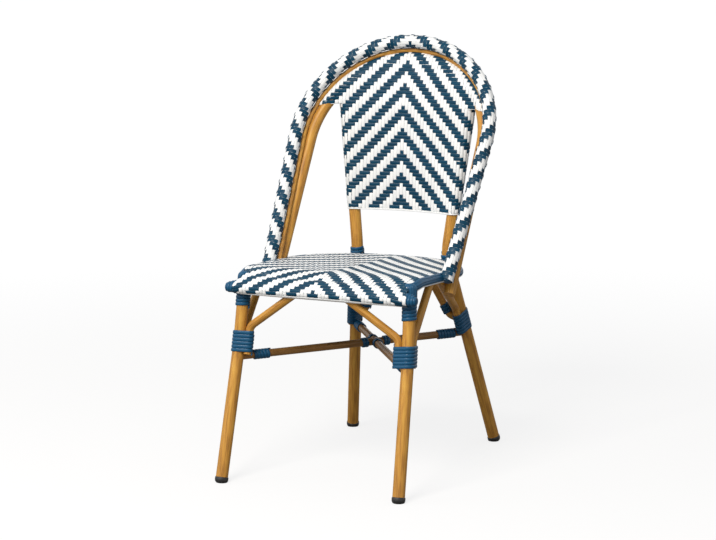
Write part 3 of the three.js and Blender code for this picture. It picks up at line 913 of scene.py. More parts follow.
@dataclass(frozen=True)
class Winding:
    """Flat strap wound in a helix round members that lie side by side."""

    width: float = 7.35
    thickness: float = 2.5
    pitch: float = 7.5
    steps: int = 48
    finer: int = 8
    slack: float = 0.15

    def outline(self, circles: Sequence[Sequence[float]], margin: float) -> tuple[Array, ...]:
        """The line that a strap takes round circles.

        Args:
            circles: x, y and radius of each.
            margin: how far outside them it runs.

        Returns:
            Its points, their outward directions and their distances along it, and its girth.
        """
        direction = circle(1.0, self.steps * self.finer)
        rings = np.asarray(circles, float)
        best = (direction @ rings[:, :2].T + rings[:, 2]).argmax(1)
        keep = np.zeros(len(direction), bool)
        keep[:: self.finer] = True
        edges = best != np.roll(best, 1)
        keep |= edges | np.roll(edges, -1)
        chosen = np.flatnonzero(keep)
        at = rings[best[chosen], :2] + direction[chosen] * (rings[best[chosen], 2:] + margin)
        gaps = np.linalg.norm(np.roll(at, -1, 0) - at, axis=1)
        return at, direction[chosen], np.cumsum(gaps) - gaps, gaps.sum()

    def wound(
        self,
        centre_at: Callable[[float], Array],
        axis: Array,
        sideways: Sequence[float],
        circles: Sequence[Sequence[float]],
        turns: int,
    ) -> Body:
        """The strap as one body.

        Args:
            centre_at: the members' centre at a distance along the winding.
            axis: the direction that the winding climbs in.
            sideways: about where the circles' first axis points.
            circles: x, y and radius of the members in the plane across the axis.
            turns: how many turns it takes.

        Returns:
            The closed body.
        """
        axis = unit(np.asarray(axis, float))
        side = np.asarray(sideways, float)
        u = unit(side - axis * side.dot(axis))
        v = np.cross(axis, u)
        at, direction, run, girth = self.outline(circles, self.slack + self.thickness / 2)
        section = strap_section(self.width, self.thickness)
        count = len(at)
        rings, lay = [], []
        for i in range(turns * count + 1):
            k = i % count
            lift = self.width / 2 + self.pitch * (i // count + run[k] / girth)
            middle = centre_at(lift) + u * at[k, 0] + v * at[k, 1]
            outward = u * direction[k, 0] + v * direction[k, 1]
            rings.append(middle + section[:, :1] * axis + section[:, 1:] * outward)
            length = girth * (i // count) + run[k]
            lay.append(np.column_stack([section, np.full(len(section), length)]))
        return lofted(np.array(rings), np.array(lay))


# --- weave --------------------------------------------------------------------------------


class Strand(Enum):
    """Which way a strap of the weave runs."""

    WARP = "white"
    WEFT = "navy"


@dataclass(frozen=True)
class StrapFloat:
    """The stretch of strap that lies on top between two dives, in cells of the weave.

    The template runs along x from -0.5 to 0.5 of its span, is one cell wide along y, and its
    height is in millimetres.
    """

    width_share: float = 0.965
    thickness: float = 1.5
    crest: float = 0.55
    dive: float = -0.75

    def template(self) -> Body:
        """One float of a single cell's length and width.

        Returns:
            Its body.
        """
        stations = np.array([-0.535, -0.47, -0.37, 0.0, 0.37, 0.47, 0.535])
        heights = mixed(self.dive, self.crest, np.array([0, 0.55, 0.95, 1.0, 0.95, 0.55, 0]))
        section = [(-0.5, -0.05), (-0.4, 0.4), (0.0, 0.5), (0.4, 0.4), (0.5, -0.05), (0.0, -0.5)]
        across = np.array(section)
        rings = np.empty((len(stations), len(section), 3))
        rings[..., 0] = stations[:, None]
        rings[..., 1] = across[None, :, 0] * self.width_share
        rings[..., 2] = heights[:, None] + across[None, :, 1] * self.thickness
        lay = np.stack([rings[..., 1], np.zeros_like(rings[..., 1]), rings[..., 0]], -1)
        return lofted(rings, lay)


class FloatTree:
    """The Geometry Nodes tree that lays a strap float on every point of a weave."""

    def __init__(self) -> None:
        """Builds the tree."""
        tree = bpy.data.node_groups.new("strap floats", "GeometryNodeTree")
        self.tree = tree
        self.sockets: dict[str, str] = {}
        kinds = {"Points": "Geometry", "Float": "Object", "Seed": "Int", "Finish": "Material"}
        for name, kind in kinds.items():
            socket = tree.interface.new_socket(
                name=name, in_out="INPUT", socket_type="NodeSocket" + kind
            )
            self.sockets[name] = socket.identifier
        tree.interface.new_socket(
            name="Straps", in_out="OUTPUT", socket_type="NodeSocketGeometry"
        )
        given = add_node(tree, "NodeGroupInput").outputs
        template = add_node(tree, "GeometryNodeObjectInfo", None, {"Object": given["Float"]})
        single = {"data_type": "FLOAT"}
        turn, span = (
            add_node(tree, "GeometryNodeInputNamedAttribute", single, {"Name": name})
            for name in ("turn", "span")
        )
        angles = add_node(tree, "ShaderNodeCombineXYZ", None, {"Z": turn.outputs[0]})
        rotation = add_node(
            tree, "FunctionNodeEulerToRotation", None, {"Euler": angles.outputs[0]}
        )
        lengths = {"X": span.outputs[0], "Y": 1.0, "Z": 1.0}
        scale = add_node(tree, "ShaderNodeCombineXYZ", None, lengths)
        placed = {
            "Points": given["Points"],
            "Instance": template.outputs["Geometry"],
            "Rotation": rotation.outputs[0],
            "Scale": scale.outputs[0],
        }
        laid = add_node(tree, "GeometryNodeInstanceOnPoints", None, placed)
        random = add_node(tree, "FunctionNodeRandomValue", single, {"Seed": given["Seed"]})
        toned = add_node(
            tree,
            "GeometryNodeStoreNamedAttribute",
            {"data_type": "FLOAT", "domain": "INSTANCE"},
            {"Geometry": laid.outputs[0], "Name": "tone", "Value": random.outputs[1]},
        )
        real = add_node(
            tree, "GeometryNodeRealizeInstances", None, {"Geometry": toned.outputs[0]}
        )
        dressed = {"Geometry": real.outputs[0], "Material": given["Finish"]}
        finished = add_node(tree, "GeometryNodeSetMaterial", None, dressed)
        add_node(tree, "NodeGroupOutput", None, {0: finished.outputs[0]})

    def lay(
        self, places: Array, template: Body, seed: int, material: bpy.types.Material
    ) -> Body:
        """Lays a float on every place, in the weave's own cells.

        Args:
            places: column, row, span, turn and part of each float.
            template: the float.
            seed: the seed of the tones.
            material: the floats' finish.

        Returns:
            All floats as one body, with columns, rows and heights as its points.
        """
        strap = mesh_object("float template", template.points, template.quads)
        put_attribute(strap.data, "place_on_strap", template.lay)
        host = mesh_object("float places", np.pad(places[:, :2], ((0, 0), (0, 1))))
        for column, name in ((2, "span"), (3, "turn"), (4, "part")):
            put_attribute(host.data, name, places[:, column])
        modifier = host.modifiers.new("strap floats", "NODES")
        modifier.node_group = self.tree
        for name, value in (("Float", strap), ("Seed", seed), ("Finish", material)):
            modifier[self.sockets[name]] = value
        graph = bpy.context.evaluated_depsgraph_get()
        mesh = bpy.data.meshes.new_from_object(
            host.evaluated_get(graph), preserve_all_data_layers=True, depsgraph=graph
        )
        host.modifiers.clear()
        points = np.empty(len(mesh.vertices) * 3, np.float32)
        mesh.vertices.foreach_get("co", points)
        corners = np.empty(len(mesh.loops), np.int32)
        mesh.loops.foreach_get("vertex_index", corners)
        lay = get_attribute(mesh, "place_on_strap", 3)
        lay[:, 2] *= get_attribute(mesh, "span", 1)[:, 0]
        body = Body(
            points.reshape(-1, 3).astype(float),
            corners.reshape(-1, 4),
            lay,
            get_attribute(mesh, "tone", 1)[:, 0],
            get_attribute(mesh, "part", 1)[:, 0],
        )
        for obj in (strap, host):
            data = obj.data
            bpy.data.objects.remove(obj)
            bpy.data.meshes.remove(data)
        bpy.data.meshes.remove(mesh)
        return body


Surface = Callable[[Array, Array, Array], Array]


@dataclass
class Weave:
    """A twill of cells on a surface: white warp along the rows' axis and navy weft across it.

    A cell is navy when its row, less its distance from the apex column, falls in the first
    half of the repeat, which gives stripes that meet in an arrow.
    """

    surface: Surface
    columns: range
    rows: range
    cells: set[tuple[int, int]]
    cell: tuple[float, float]
    repeat: int = 6
    broken: set[tuple[int, int]] = frozenset()
    part_of: Callable[[float, float], float] = lambda column, row: 0.0
    wraps: bool = False

    def navy(self, column: int, row: int) -> bool:
        """Whether the weft lies on top in a cell."""
        return (row - abs(column)) % self.repeat < self.repeat // 2

    def runs(self, strand: Strand, face: bool) -> Array:
        """The floats of one strand on one face of the weave.

        Args:
            strand: the warp or the weft.
            face: whether the front face is meant, or else the back, where the other is on top.

        Returns:
            Column, row, span, turn and part of each float.
        """
        on_top = (strand is Strand.WEFT) == face
        warp = strand is Strand.WARP
        outer, inner = (self.columns, self.rows) if warp else (self.rows, self.columns)
        found = []
        for line in outer:
            start = last = None
            for step in [*inner, None]:
                column, row = (line, step) if warp else (step, line)
                shows = (column, row) in self.cells and self.navy(column, row) == on_top
                cut = warp and (column, row) in self.broken
                if start is not None and (not shows or cut):
                    found.append((line, start, last))
                    start = None
                if shows:
                    start = step if start is None else start
                    last = step
        if self.wraps and not warp:
            found = self.closed_round(found)
        places = []
        for line, start, last in found:
            middle = (start + last) / 2
            column, row = (line, middle) if warp else (middle, line)
            turn = math.pi / 2 if warp else 0.0
            places.append((column, row, last - start + 1, turn, self.part_of(column, row)))
        return np.array(places, float)

    def closed_round(self, found: list[tuple]) -> list[tuple]:
        """Joins the weft floats that meet where the columns close round a tube.

        Args:
            found: row, first column and last column of each float.

        Returns:
            The same, with a float that goes on past the last column where two meet.
        """
        low, high = self.columns[0], self.columns[-1]
        closed = []
        for line in self.rows:
            row = [f for f in found if f[0] == line]
            if len(row) > 1 and row[0][1] == low and row[-1][2] == high:
                reach = high + row[0][2] - low + 1
                row = row[1:-1] + [(line, row[-1][1], reach)]
            closed += row
        return closed

    def on_surface(self, body: Body, sign: float) -> Body:
        """A body in the weave's cells, moved onto the surface.

        Args:
            body: columns, rows and heights.
            sign: which side of the surface its heights rise on.

        Returns:
            The body in millimetres.
        """
        u, v, h = body.points.T
        step = SLOPE_STEP
        here = self.surface(u, v, body.part)
        du = self.surface(u + step, v, body.part) - here
        dv = self.surface(u, v + step, body.part) - here
        normal = unit(np.cross(du, dv))
        points = here + normal * (h * sign)[:, None]
        return Body(points, body.quads, body.lay, body.tone)

    def floats(
        self,
        tree: FloatTree,
        strand: Strand,
        face: bool,
        sign: float,
        material: bpy.types.Material,
        seed: int,
    ) -> Body:
        """All floats of a strand on one face, on the surface.

        Args:
            tree: the tree that lays them.
            strand: the warp or the weft.
            face: whether the front face is meant.
            sign: which side of the surface is the face.
            material: their finish.
            seed: the seed of their tones.

        Returns:
            The floats as one body.
        """
        laid = tree.lay(self.runs(strand, face), StrapFloat().template(), seed, material)
        width, length = self.cell if strand is Strand.WARP else self.cell[::-1]
        laid.lay[:, 0] *= width
        laid.lay[:, 2] *= length
        return self.on_surface(laid, sign).outward()

    def shell(self, cells: set[tuple[int, int]], half: float = 0.25) -> Body:
        """A thin closed sheet under the floats, which carries the painted shade of the gaps between
        them.

        Args:
            cells: the cells that it covers.
            half: how far its faces lie from the surface.

        Returns:
            The sheet as a body.
        """
        corner: dict[tuple, int] = {}
        points: list[tuple] = []
        parts: list[float] = []

        def index(column: float, row: float, level: float, part: float) -> int:
            """The number of a corner, which is made when it is first asked for.

            Args:
                column: its place across the rows.
                row: its place along them.
                level: its height.
                part: its region of the weave.

            Returns:
                Its place in the list of points.
            """
            key = (column, row, level, part)
            if key not in corner:
                corner[key] = len(points)
                points.append((column, row, level))
                parts.append(part)
            return corner[key]

        quads = []
        around = [((-1, 0), (0, 3)), ((0, 1), (3, 2)), ((1, 0), (2, 1)), ((0, -1), (1, 0))]
        for c, r in sorted(cells):
            part = self.part_of(c, r)
            ways = ((-0.5, -0.5), (0.5, -0.5), (0.5, 0.5), (-0.5, 0.5))
            places = [(c + dc, r + dr) for dc, dr in ways]
            upper, lower = ([index(*p, h, part) for p in places] for h in (half, -half))
            quads += [upper, lower[::-1]]
            for (dc, dr), (a, b) in around:
                other = (c + dc, r + dr)
                if other not in cells or self.part_of(*other) != part:
                    quads.append([upper[a], lower[a], lower[b], upper[b]][::-1])
        flat = np.array(points)
        body = Body(flat, np.array(quads), flat * (*self.cell, 1), np.full(len(flat), 0.5))
        body.part = np.array(parts)
        return self.on_surface(body, 1.0).outward()


# --- sub-assemblies -----------------------------------------------------------------------


@dataclass
class SubAssembly:
    """A part of the chair that is built on its plan in its finishes."""

    plan: ChairPlan
    finishes: Finishes

    def add_tube(
        self, node: str, word: str, path: Array, section: Array, hint: Sequence[float] = (0, 1, 0)
    ) -> None:
        """Adds a round tube with the cane-look coating in place of a CAD node.

        Args:
            node: the node.
            word: what the piece is called after it.
            path: the tube's centre line.
            section: its section.
            hint: about where the section's first direction points.
        """
        body = swept(path, section, hint)
        add_piece(f"{node}_{word}", body, self.finishes.tube, [node])


@dataclass
class TubeFrame(SubAssembly):
    """Legs, inner hoop and the cane inside the outer hoop."""

    leg_step: float = 6.0
    glide_overlap: float = 4.0
    inner_foot: float = 390.0
    cane_radius: float = 5.0
    cane_inset: float = 13.3
    cane_behind: float = 15.9

    def build(self) -> None:
        """Builds the round tubes."""
        section = circle(self.plan.leg_radius, TUBE_SIDES)
        legs = self.plan.legs()
        for side in Side:
            for word, path in legs.items():
                foot = point_at_height(path, self.plan.glide_height - self.glide_overlap)
                path = np.concatenate([[foot], path[path[:, 2] > foot[2] + 1]])
                path = side.of(resampled(path, self.leg_step))
                self.add_tube(f"{word}_leg_{side.word}", "tube", path, section)
        self.add_tube("inner_hoop", "tube", self.plan.inner.path(self.inner_foot), section)
        foot = self.plan.ring_front_height
        path = self.plan.outer.path(foot, self.cane_inset, self.cane_behind)
        self.add_tube("hoop_cane", "rod", path, circle(self.cane_radius, CANE_SIDES))


@dataclass
class Glides(SubAssembly):
    """Moulded glides under the four feet, trimmed flat at the floor."""

    radius: float = 14.2
    rounding: float = 8.5
    sole_middle: tuple[float, float] = (2.0, -2.0)
    below_floor: float = 2.5
    rim: tuple[tuple[float, float], ...] = ((0.0, 1.5), (0.5, 0.4), (1.2, 0.0))
    sides: int = 40

    def profile(self) -> Array:
        """The glide's outline.

        Returns:
            The radius and height of its points, from the sole up.
        """
        turn = np.linspace(math.radians(8), math.pi / 2, 10)
        bend = self.rounding * np.stack([np.sin(turn), 1 - np.cos(turn)], 1)
        bend += (self.radius - self.rounding, -self.below_floor)
        rim = np.array((self.radius, self.plan.glide_height)) - self.rim
        return np.array([self.sole_middle, *bend, *rim])

    def build(self) -> None:
        """Builds the glides."""
        for side in Side:
            for word, path in self.plan.legs().items():
                foot, above = side.of(path[:2])
                rings = lathed(self.profile(), foot, unit(above - foot), self.sides)
                rings[..., 2] = np.maximum(rings[..., 2], 0.0)
                node = f"{word}_glide_{side.word}"
                body = lofted(rings, rings)
                add_piece(node + "_cap", body, self.finishes.glide, [node])


@dataclass
class Rods(SubAssembly):
    """Braces beside the legs, and the crossed stretcher."""

    radius: float = 8.5
    stretcher_radius: float = 8.2
    offset: float = 21.8
    low: float = 266.5
    high: float = 324.5
    stretcher_height: float = 260.0
    rear_brace_height: float = 290.0
    elbow: tuple[float, float, float] = (-28.0, -7.0, 7.0)
    brace_bend: float = 12.0
    brace_step: float = 4.0
    stretcher_step: float = 20.0
    end_gap: float = 5.0
    elbow_bend: float = 10.0
    front_target: tuple[float, float, float] = (52.0, 58.0, 408.0)
    side_front_depth: float = 188.0
    side_rear_depth: float = 228.0
    rear_target: tuple[float, float] = (52.0, 467.5)

    def leg_frame(self, leg: Array) -> tuple[Array, Array]:
        """Directions square to a leg at its joint.

        Args:
            leg: its centre line.

        Returns:
            The direction inwards, and the one across that.
        """
        low, high = (point_at_height(leg, z) for z in (self.low, self.high))
        axis = unit(high - low)
        inward = np.array([-1.0, 0, 0])
        u = unit(inward - axis * inward.dot(axis))
        return u, np.cross(axis, u)

    def brace(self, leg: Array, inward: float, across: float, target: Sequence[float]) -> Array:
        """A brace's line: beside its leg through the winding, then off to its target.

        Args:
            leg: the leg's centre line.
            inward: the share of the offset that points inwards.
            across: the share across it.
            target: where the brace ends.

        Returns:
            Its points.
        """
        u, v = self.leg_frame(leg)
        shift = (u * inward + v * across) * self.offset
        low, high = self.low + self.end_gap, self.high - self.end_gap
        between = leg[(leg[:, 2] > low) & (leg[:, 2] < high)]
        ends = [point_at_height(leg, z) for z in (self.low, self.high)]
        beside = np.array([ends[0], *between, ends[1]]) + shift
        bend = rounded_path([*beside[-2:], target], self.brace_bend)
        return np.concatenate([beside[:-2], bend])

    def elbow_point(self) -> Array:
        """Where the right rear brace turns beside its leg."""
        leg = self.plan.legs()["rear"]
        return point_at_height(leg, self.rear_brace_height) + np.array(self.elbow)

    def right_braces(self) -> dict[str, Array]:
        """The lines of the right half's braces.

        Returns:
            Their points by name.
        """
        plan = self.plan
        front, rear = plan.legs().values()
        edge = plan.ring_half_width
        side_front, side_rear = (
            (edge, depth, plan.ring_height(depth))
            for depth in (self.side_front_depth, self.side_rear_depth)
        )
        x, y = self.rear_target
        leg_point = point_at_height(rear, self.rear_brace_height)
        corners = [leg_point, self.elbow_point(), (x, y, plan.ring_height(y))]
        return {
            "front_brace": self.brace(front, 1, 0, self.front_target),
            "side_brace_front": self.brace(front, 0, -1, side_front),
            "side_brace_rear": self.brace(rear, 0, 1, side_rear),
            "rear_brace": rounded_path(corners, self.elbow_bend),
        }

    def stretcher_corners(self) -> dict[str, Array]:
        """The stretcher's ends.

        Returns:
            Where it meets the right half's front leg and rear leg, and its crossing.
        """
        front, rear = (
            point_at_height(leg, self.stretcher_height) for leg in self.plan.legs().values()
        )
        crossing = mixed(front, rear, front[0] / (front[0] + rear[0]))
        crossing[0] = 0.0
        return {"front": front, "rear": rear, "crossing": crossing}

    def build(self) -> None:
        """Builds the braces and the stretcher."""
        section = circle(self.radius, ROD_SIDES)
        for side in Side:
            for kind, path in self.right_braces().items():
                path = side.of(resampled(path, self.brace_step))
                self.add_tube(f"{kind}_{side.word}", "rod", path, section, (1, 0, 0))
        section = circle(self.stretcher_radius, ROD_SIDES)
        front, rear, crossing = self.stretcher_corners().values()
        runs = {
            "stretcher_long": (Side.LEFT.of(front), rear),
            "stretcher_half_front": (front, crossing),
            "stretcher_half_rear": (Side.LEFT.of(rear), crossing),
        }
        for node, ends in runs.items():
            body = swept(resampled(np.array(ends), self.stretcher_step), section)
            add_piece(node + "_rod", body, self.finishes.rod, [node])


@dataclass
class Bindings(SubAssembly):
    """Navy strap wound round every joint."""

    rods: Rods
    winding: Winding = Winding()
    corner_strap: Winding = Winding(6.6, 2.4, 6.8)
    corner_turns: tuple = ((196.2, 5.0, 7.4), (202.8, 3.5, 7.6), (209.4, 1.5, 8.0))
    corner_lift: float = 0.6
    rail_end: tuple = ((9.6, 213.0), (9.4, 216.4), (7.6, 217.6), (4.0, 217.9))
    joint_bottom: float = 264.5
    joint_turns: int = 6
    leg_top_bottom: float = 361.0
    leg_top_turns: int = 4
    dome_straps: int = 15
    dome_rise: float = 11.5
    dome_end: float = 88.0
    dome_rings: int = 12
    dome_open_rings: int = 3
    dome_gap: float = 0.3
    dome_lift: float = 0.6
    dome_strap_thickness: float = 2.2
    upright_bottom: float = 423.0
    upright_turns: int = 2
    front_stretcher: tuple[float, int] = (34.0, 5)
    rear_stretcher: tuple[float, int] = (27.0, 6)
    crossing_start: float = 15.5
    crossing_turns: int = 2
    brace_start: float = 3.0
    brace_turns: int = 3

    def on_leg(
        self, leg: Array, side: Side, bottom: float, turns: int, circles: Sequence
    ) -> Body:
        """A winding that climbs a leg.

        Args:
            leg: the right leg's centre line.
            side: the half it belongs to.
            bottom: the height at which it starts.
            turns: how many turns it takes.
            circles: inward, across and radius of the members.

        Returns:
            The strap's body.
        """
        top = bottom + turns * self.winding.pitch + self.winding.width
        start, end = (side.of(point_at_height(leg, z)) for z in (bottom, top))
        share = (top - bottom) / np.linalg.norm(end - start)
        return self.winding.wound(
            lambda lift: side.of(point_at_height(leg, bottom + lift * share)),
            end - start,
            (-side.value, 0, 0),
            [(x, side.value * y, r) for x, y, r in circles],
            turns,
        )

    def on_rod(self, start: Array, end: Array, skip: float, turns: int, radius: float) -> Body:
        """A winding on a straight rod.

        Args:
            start: the end near which it starts.
            end: the rod's other end.
            skip: how far from the end it starts.
            turns: how many turns it takes.
            radius: the rod's radius.

        Returns:
            The strap's body.
        """
        run = unit(end - start)
        sideways = (1, 0, 0) if abs(run[2]) > 0.5 else (0, 0, 1)
        return self.winding.wound(
            lambda lift: start + run * (skip + lift), run, sideways, [(0, 0, radius)], turns
        )

    def corner(self, side: Side) -> Body:
        """The strap over the end of the front rail and over the leg's top.

        Args:
            side: the half it belongs to.

        Returns:
            Its turns, the dome and the rail's closed end as one body.
        """
        plan = self.plan
        rail = np.array([0.0, plan.rail_depth, plan.rail_height])
        along = np.array([side.value, 0.0, 0.0])
        bodies = []
        for x, reach, radius in self.corner_turns:
            round_rail = (0, 0, plan.rail_radius + self.corner_lift)
            members = [round_rail, (reach, side.value * reach, radius)]
            centre = rail + along * x
            turn = self.corner_strap.wound(lambda lift, c=centre: c, along, (0, 1, 0), members, 1)
            bodies.append(turn)
        rings = lathed(self.rail_end, rail, along, TUBE_SIDES)
        return joined([*bodies, *self.dome(side), lofted(rings, rings)])

    def dome(self, side: Side) -> list[Body]:
        """Straps that run up the leg's top from its winding and close over it.

        Args:
            side: the half they belong to.

        Returns:
            The core that they lie on, and each strap.
        """
        leg = self.plan.legs()["front"]
        bottom = self.leg_top_bottom + (self.leg_top_turns + 1) * self.winding.pitch
        foot, top = side.of(point_at_height(leg, bottom)), side.of(leg[-1])
        up = unit(top - foot)
        turn = np.linspace(0, math.radians(self.dome_end), self.dome_rings)
        arc = np.stack([np.cos(turn), np.sin(turn) * self.dome_rise], 1)
        profile = np.concatenate([[[1.0, -np.linalg.norm(top - foot)]], arc])
        radius = self.plan.leg_radius + self.dome_gap
        core = lathed(profile * (radius, 1), top, up, TUBE_SIDES)
        bodies = [lofted(core, core)]
        radius += self.dome_strap_thickness / 2 + 0.1
        width = 2 * math.pi * radius / self.dome_straps
        section = strap_section(width, self.dome_strap_thickness)
        line = profile[: -self.dome_open_rings]
        for k, way in enumerate(lathed([(1.0, 0.0)], np.zeros(3), up, self.dome_straps)[0]):
            path = top + way * line[:, :1] * radius + up * (line[:, 1:] + self.dome_lift)
            across = np.tile(np.cross(way, up), (len(path), 1))
            outward = unit(np.cross(tangents(path), across))
            tone = 0.3 + 0.4 * (k % 2)
            bodies.append(swept(path, section, frames=(across, outward), tone=tone))
        return bodies

    def build(self) -> None:
        """Builds all windings."""
        plan, rods = self.plan, self.rods
        legs = plan.legs()
        leg, rod = (0, 0, plan.leg_radius), rods.radius
        joint = {
            "front": [leg, (rods.offset, 0, rod), (0, -rods.offset, rod)],
            "rear": [leg, (0, rods.offset, rod)],
        }
        on_legs = {
            "front_joint_wrap": ("front", self.joint_bottom, self.joint_turns, joint["front"]),
            "rear_joint_wrap": ("rear", self.joint_bottom, self.joint_turns, joint["rear"]),
            "leg_top_wrap": ("front", self.leg_top_bottom, self.leg_top_turns, [leg]),
            "upright_wrap": ("rear", self.upright_bottom, self.upright_turns, [leg]),
        }
        x, y = rods.rear_target
        brace = rods.elbow_point(), np.array([x, y, plan.ring_height(y)])
        on_rods = {"rear_brace_wrap": (*brace, self.brace_start, self.brace_turns, rod)}
        front, rear, crossing = rods.stretcher_corners().values()
        radius = rods.stretcher_radius
        for word, corner, laid in (
            ("front", front, self.front_stretcher),
            ("rear", rear, self.rear_stretcher),
        ):
            turns = self.crossing_start, self.crossing_turns
            on_rods[f"stretcher_wrap_{word}"] = (corner, crossing, *laid, radius)
            on_rods[f"crossing_wrap_{word}"] = (crossing, corner, *turns, radius)
        for side in Side:
            wound = {
                name: self.on_leg(legs[word], side, *laid)
                for name, (word, *laid) in on_legs.items()
            }
            for name, (start, end, *laid) in on_rods.items():
                wound[name] = self.on_rod(side.of(start), side.of(end), *laid)
            wound["corner_wrap"] = self.corner(side)
            for name, body in wound.items():
                node = f"{name}_{side.word}"
                add_piece(node + "_strap", body, self.finishes.navy, [node])


@dataclass
class WovenPart(SubAssembly):
    """A sub-assembly of woven strap."""

    tree: FloatTree

    def add_strands(
        self, node: str, seed: int, face: Weave, rear: Weave | None = None, sign: float = -1.0
    ) -> None:
        """Adds a weave's white strap and its navy strap in place of a CAD node.

        Args:
            node: the node.
            seed: the seed of the straps' tones.
            face: the weave of the side that shows.
            rear: the weave of the other side, if that shows too.
            sign: which side of its surface the face is on.
        """
        # The navy of the weave is the darker copy of the navy strap, painted shade.
        strands = (Strand.WARP, self.finishes.white), (Strand.WEFT, self.finishes.weft)
        for own_seed, (strand, material) in enumerate(strands, seed):
            bodies = [face.floats(self.tree, strand, True, sign, material, own_seed)]
            if rear:
                own_seed += 5
                bodies.append(rear.floats(self.tree, strand, False, -sign, material, own_seed))
            name = f"{node}_{strand.value}_strap"
            add_piece(name, joined(bodies), material, [node])

    def add_core(self, node: str, body: Body) -> None:
        """Adds a grey sheet that shows between the straps, painted shade for their gaps, in place
        of a CAD node.
        """
        add_piece(node + "_core", body, self.finishes.core, [node])


@dataclass
class HoopSleeve(WovenPart):
    """The braided sleeve of the outer hoop: strap in a twill round the tube."""

    radius: float = 14.3
    foot: float = 422.5
    columns: int = 12
    row_pitch: float = 9.05
    # The grey tube inside the sleeve is painted shade that shows between its straps.
    core_radius: float = 13.4
    column_phase: float = 0.5
    core_cut: float = 0.2
    step: float = 2.0

    def __post_init__(self) -> None:
        """Keeps the sleeve's centre line and the directions across it."""
        hoop = self.plan.outer
        self.path = hoop.path(self.foot, step=self.step)
        self.run = run_lengths(self.path)
        self.run -= self.run[-1] / 2
        lean = math.atan(hoop.lean)
        self.front = np.array([0.0, -math.cos(lean), math.sin(lean)])
        self.outward = unit(np.cross(self.front, tangents(self.path)))

    def surface(self, u: Array, v: Array, part: Array | None = None) -> Array:
        """The sleeve's surface at columns and rows.

        Args:
            u: the columns, round the tube.
            v: the rows, from the top of the hoop.
            part: not used here.

        Returns:
            Points in millimetres.
        """
        at = v * self.row_pitch
        turn = ((u + self.column_phase) * 2 * math.pi / self.columns)[:, None]
        out = unit(looked_up(at, self.run, self.outward))
        across = np.cos(turn) * out + np.sin(turn) * self.front
        return looked_up(at, self.run, self.path) + across * self.radius

    def build(self) -> None:
        """Builds the sleeve, whose straps bear on the tube with the middles of their floats."""
        rows = int(self.run[-1] / self.row_pitch)
        grid = range(self.columns), range(-rows, rows + 1)
        cell = (2 * math.pi * self.radius / self.columns, self.row_pitch)
        weave = SleeveWeave(self.surface, *grid, set(product(*grid)), cell, wraps=True)
        self.add_strands("hoop_sleeve", 11, weave)
        # A grey tube under the straps: painted shade in the gaps between them.
        covered = np.abs(self.run) < (rows - self.core_cut) * self.row_pitch
        section = circle(self.core_radius, ROD_SIDES)
        self.add_core("hoop_sleeve", swept(self.path[covered], section, (0, 1, 0)))


class SleeveWeave(Weave):
    """A twill whose stripes wind round a tube, mirrored about the top of the hoop."""

    def navy(self, column: int, row: int) -> bool:
        """Whether the weft lies on top in a cell."""
        return (abs(row) - column) % self.repeat < self.repeat // 2


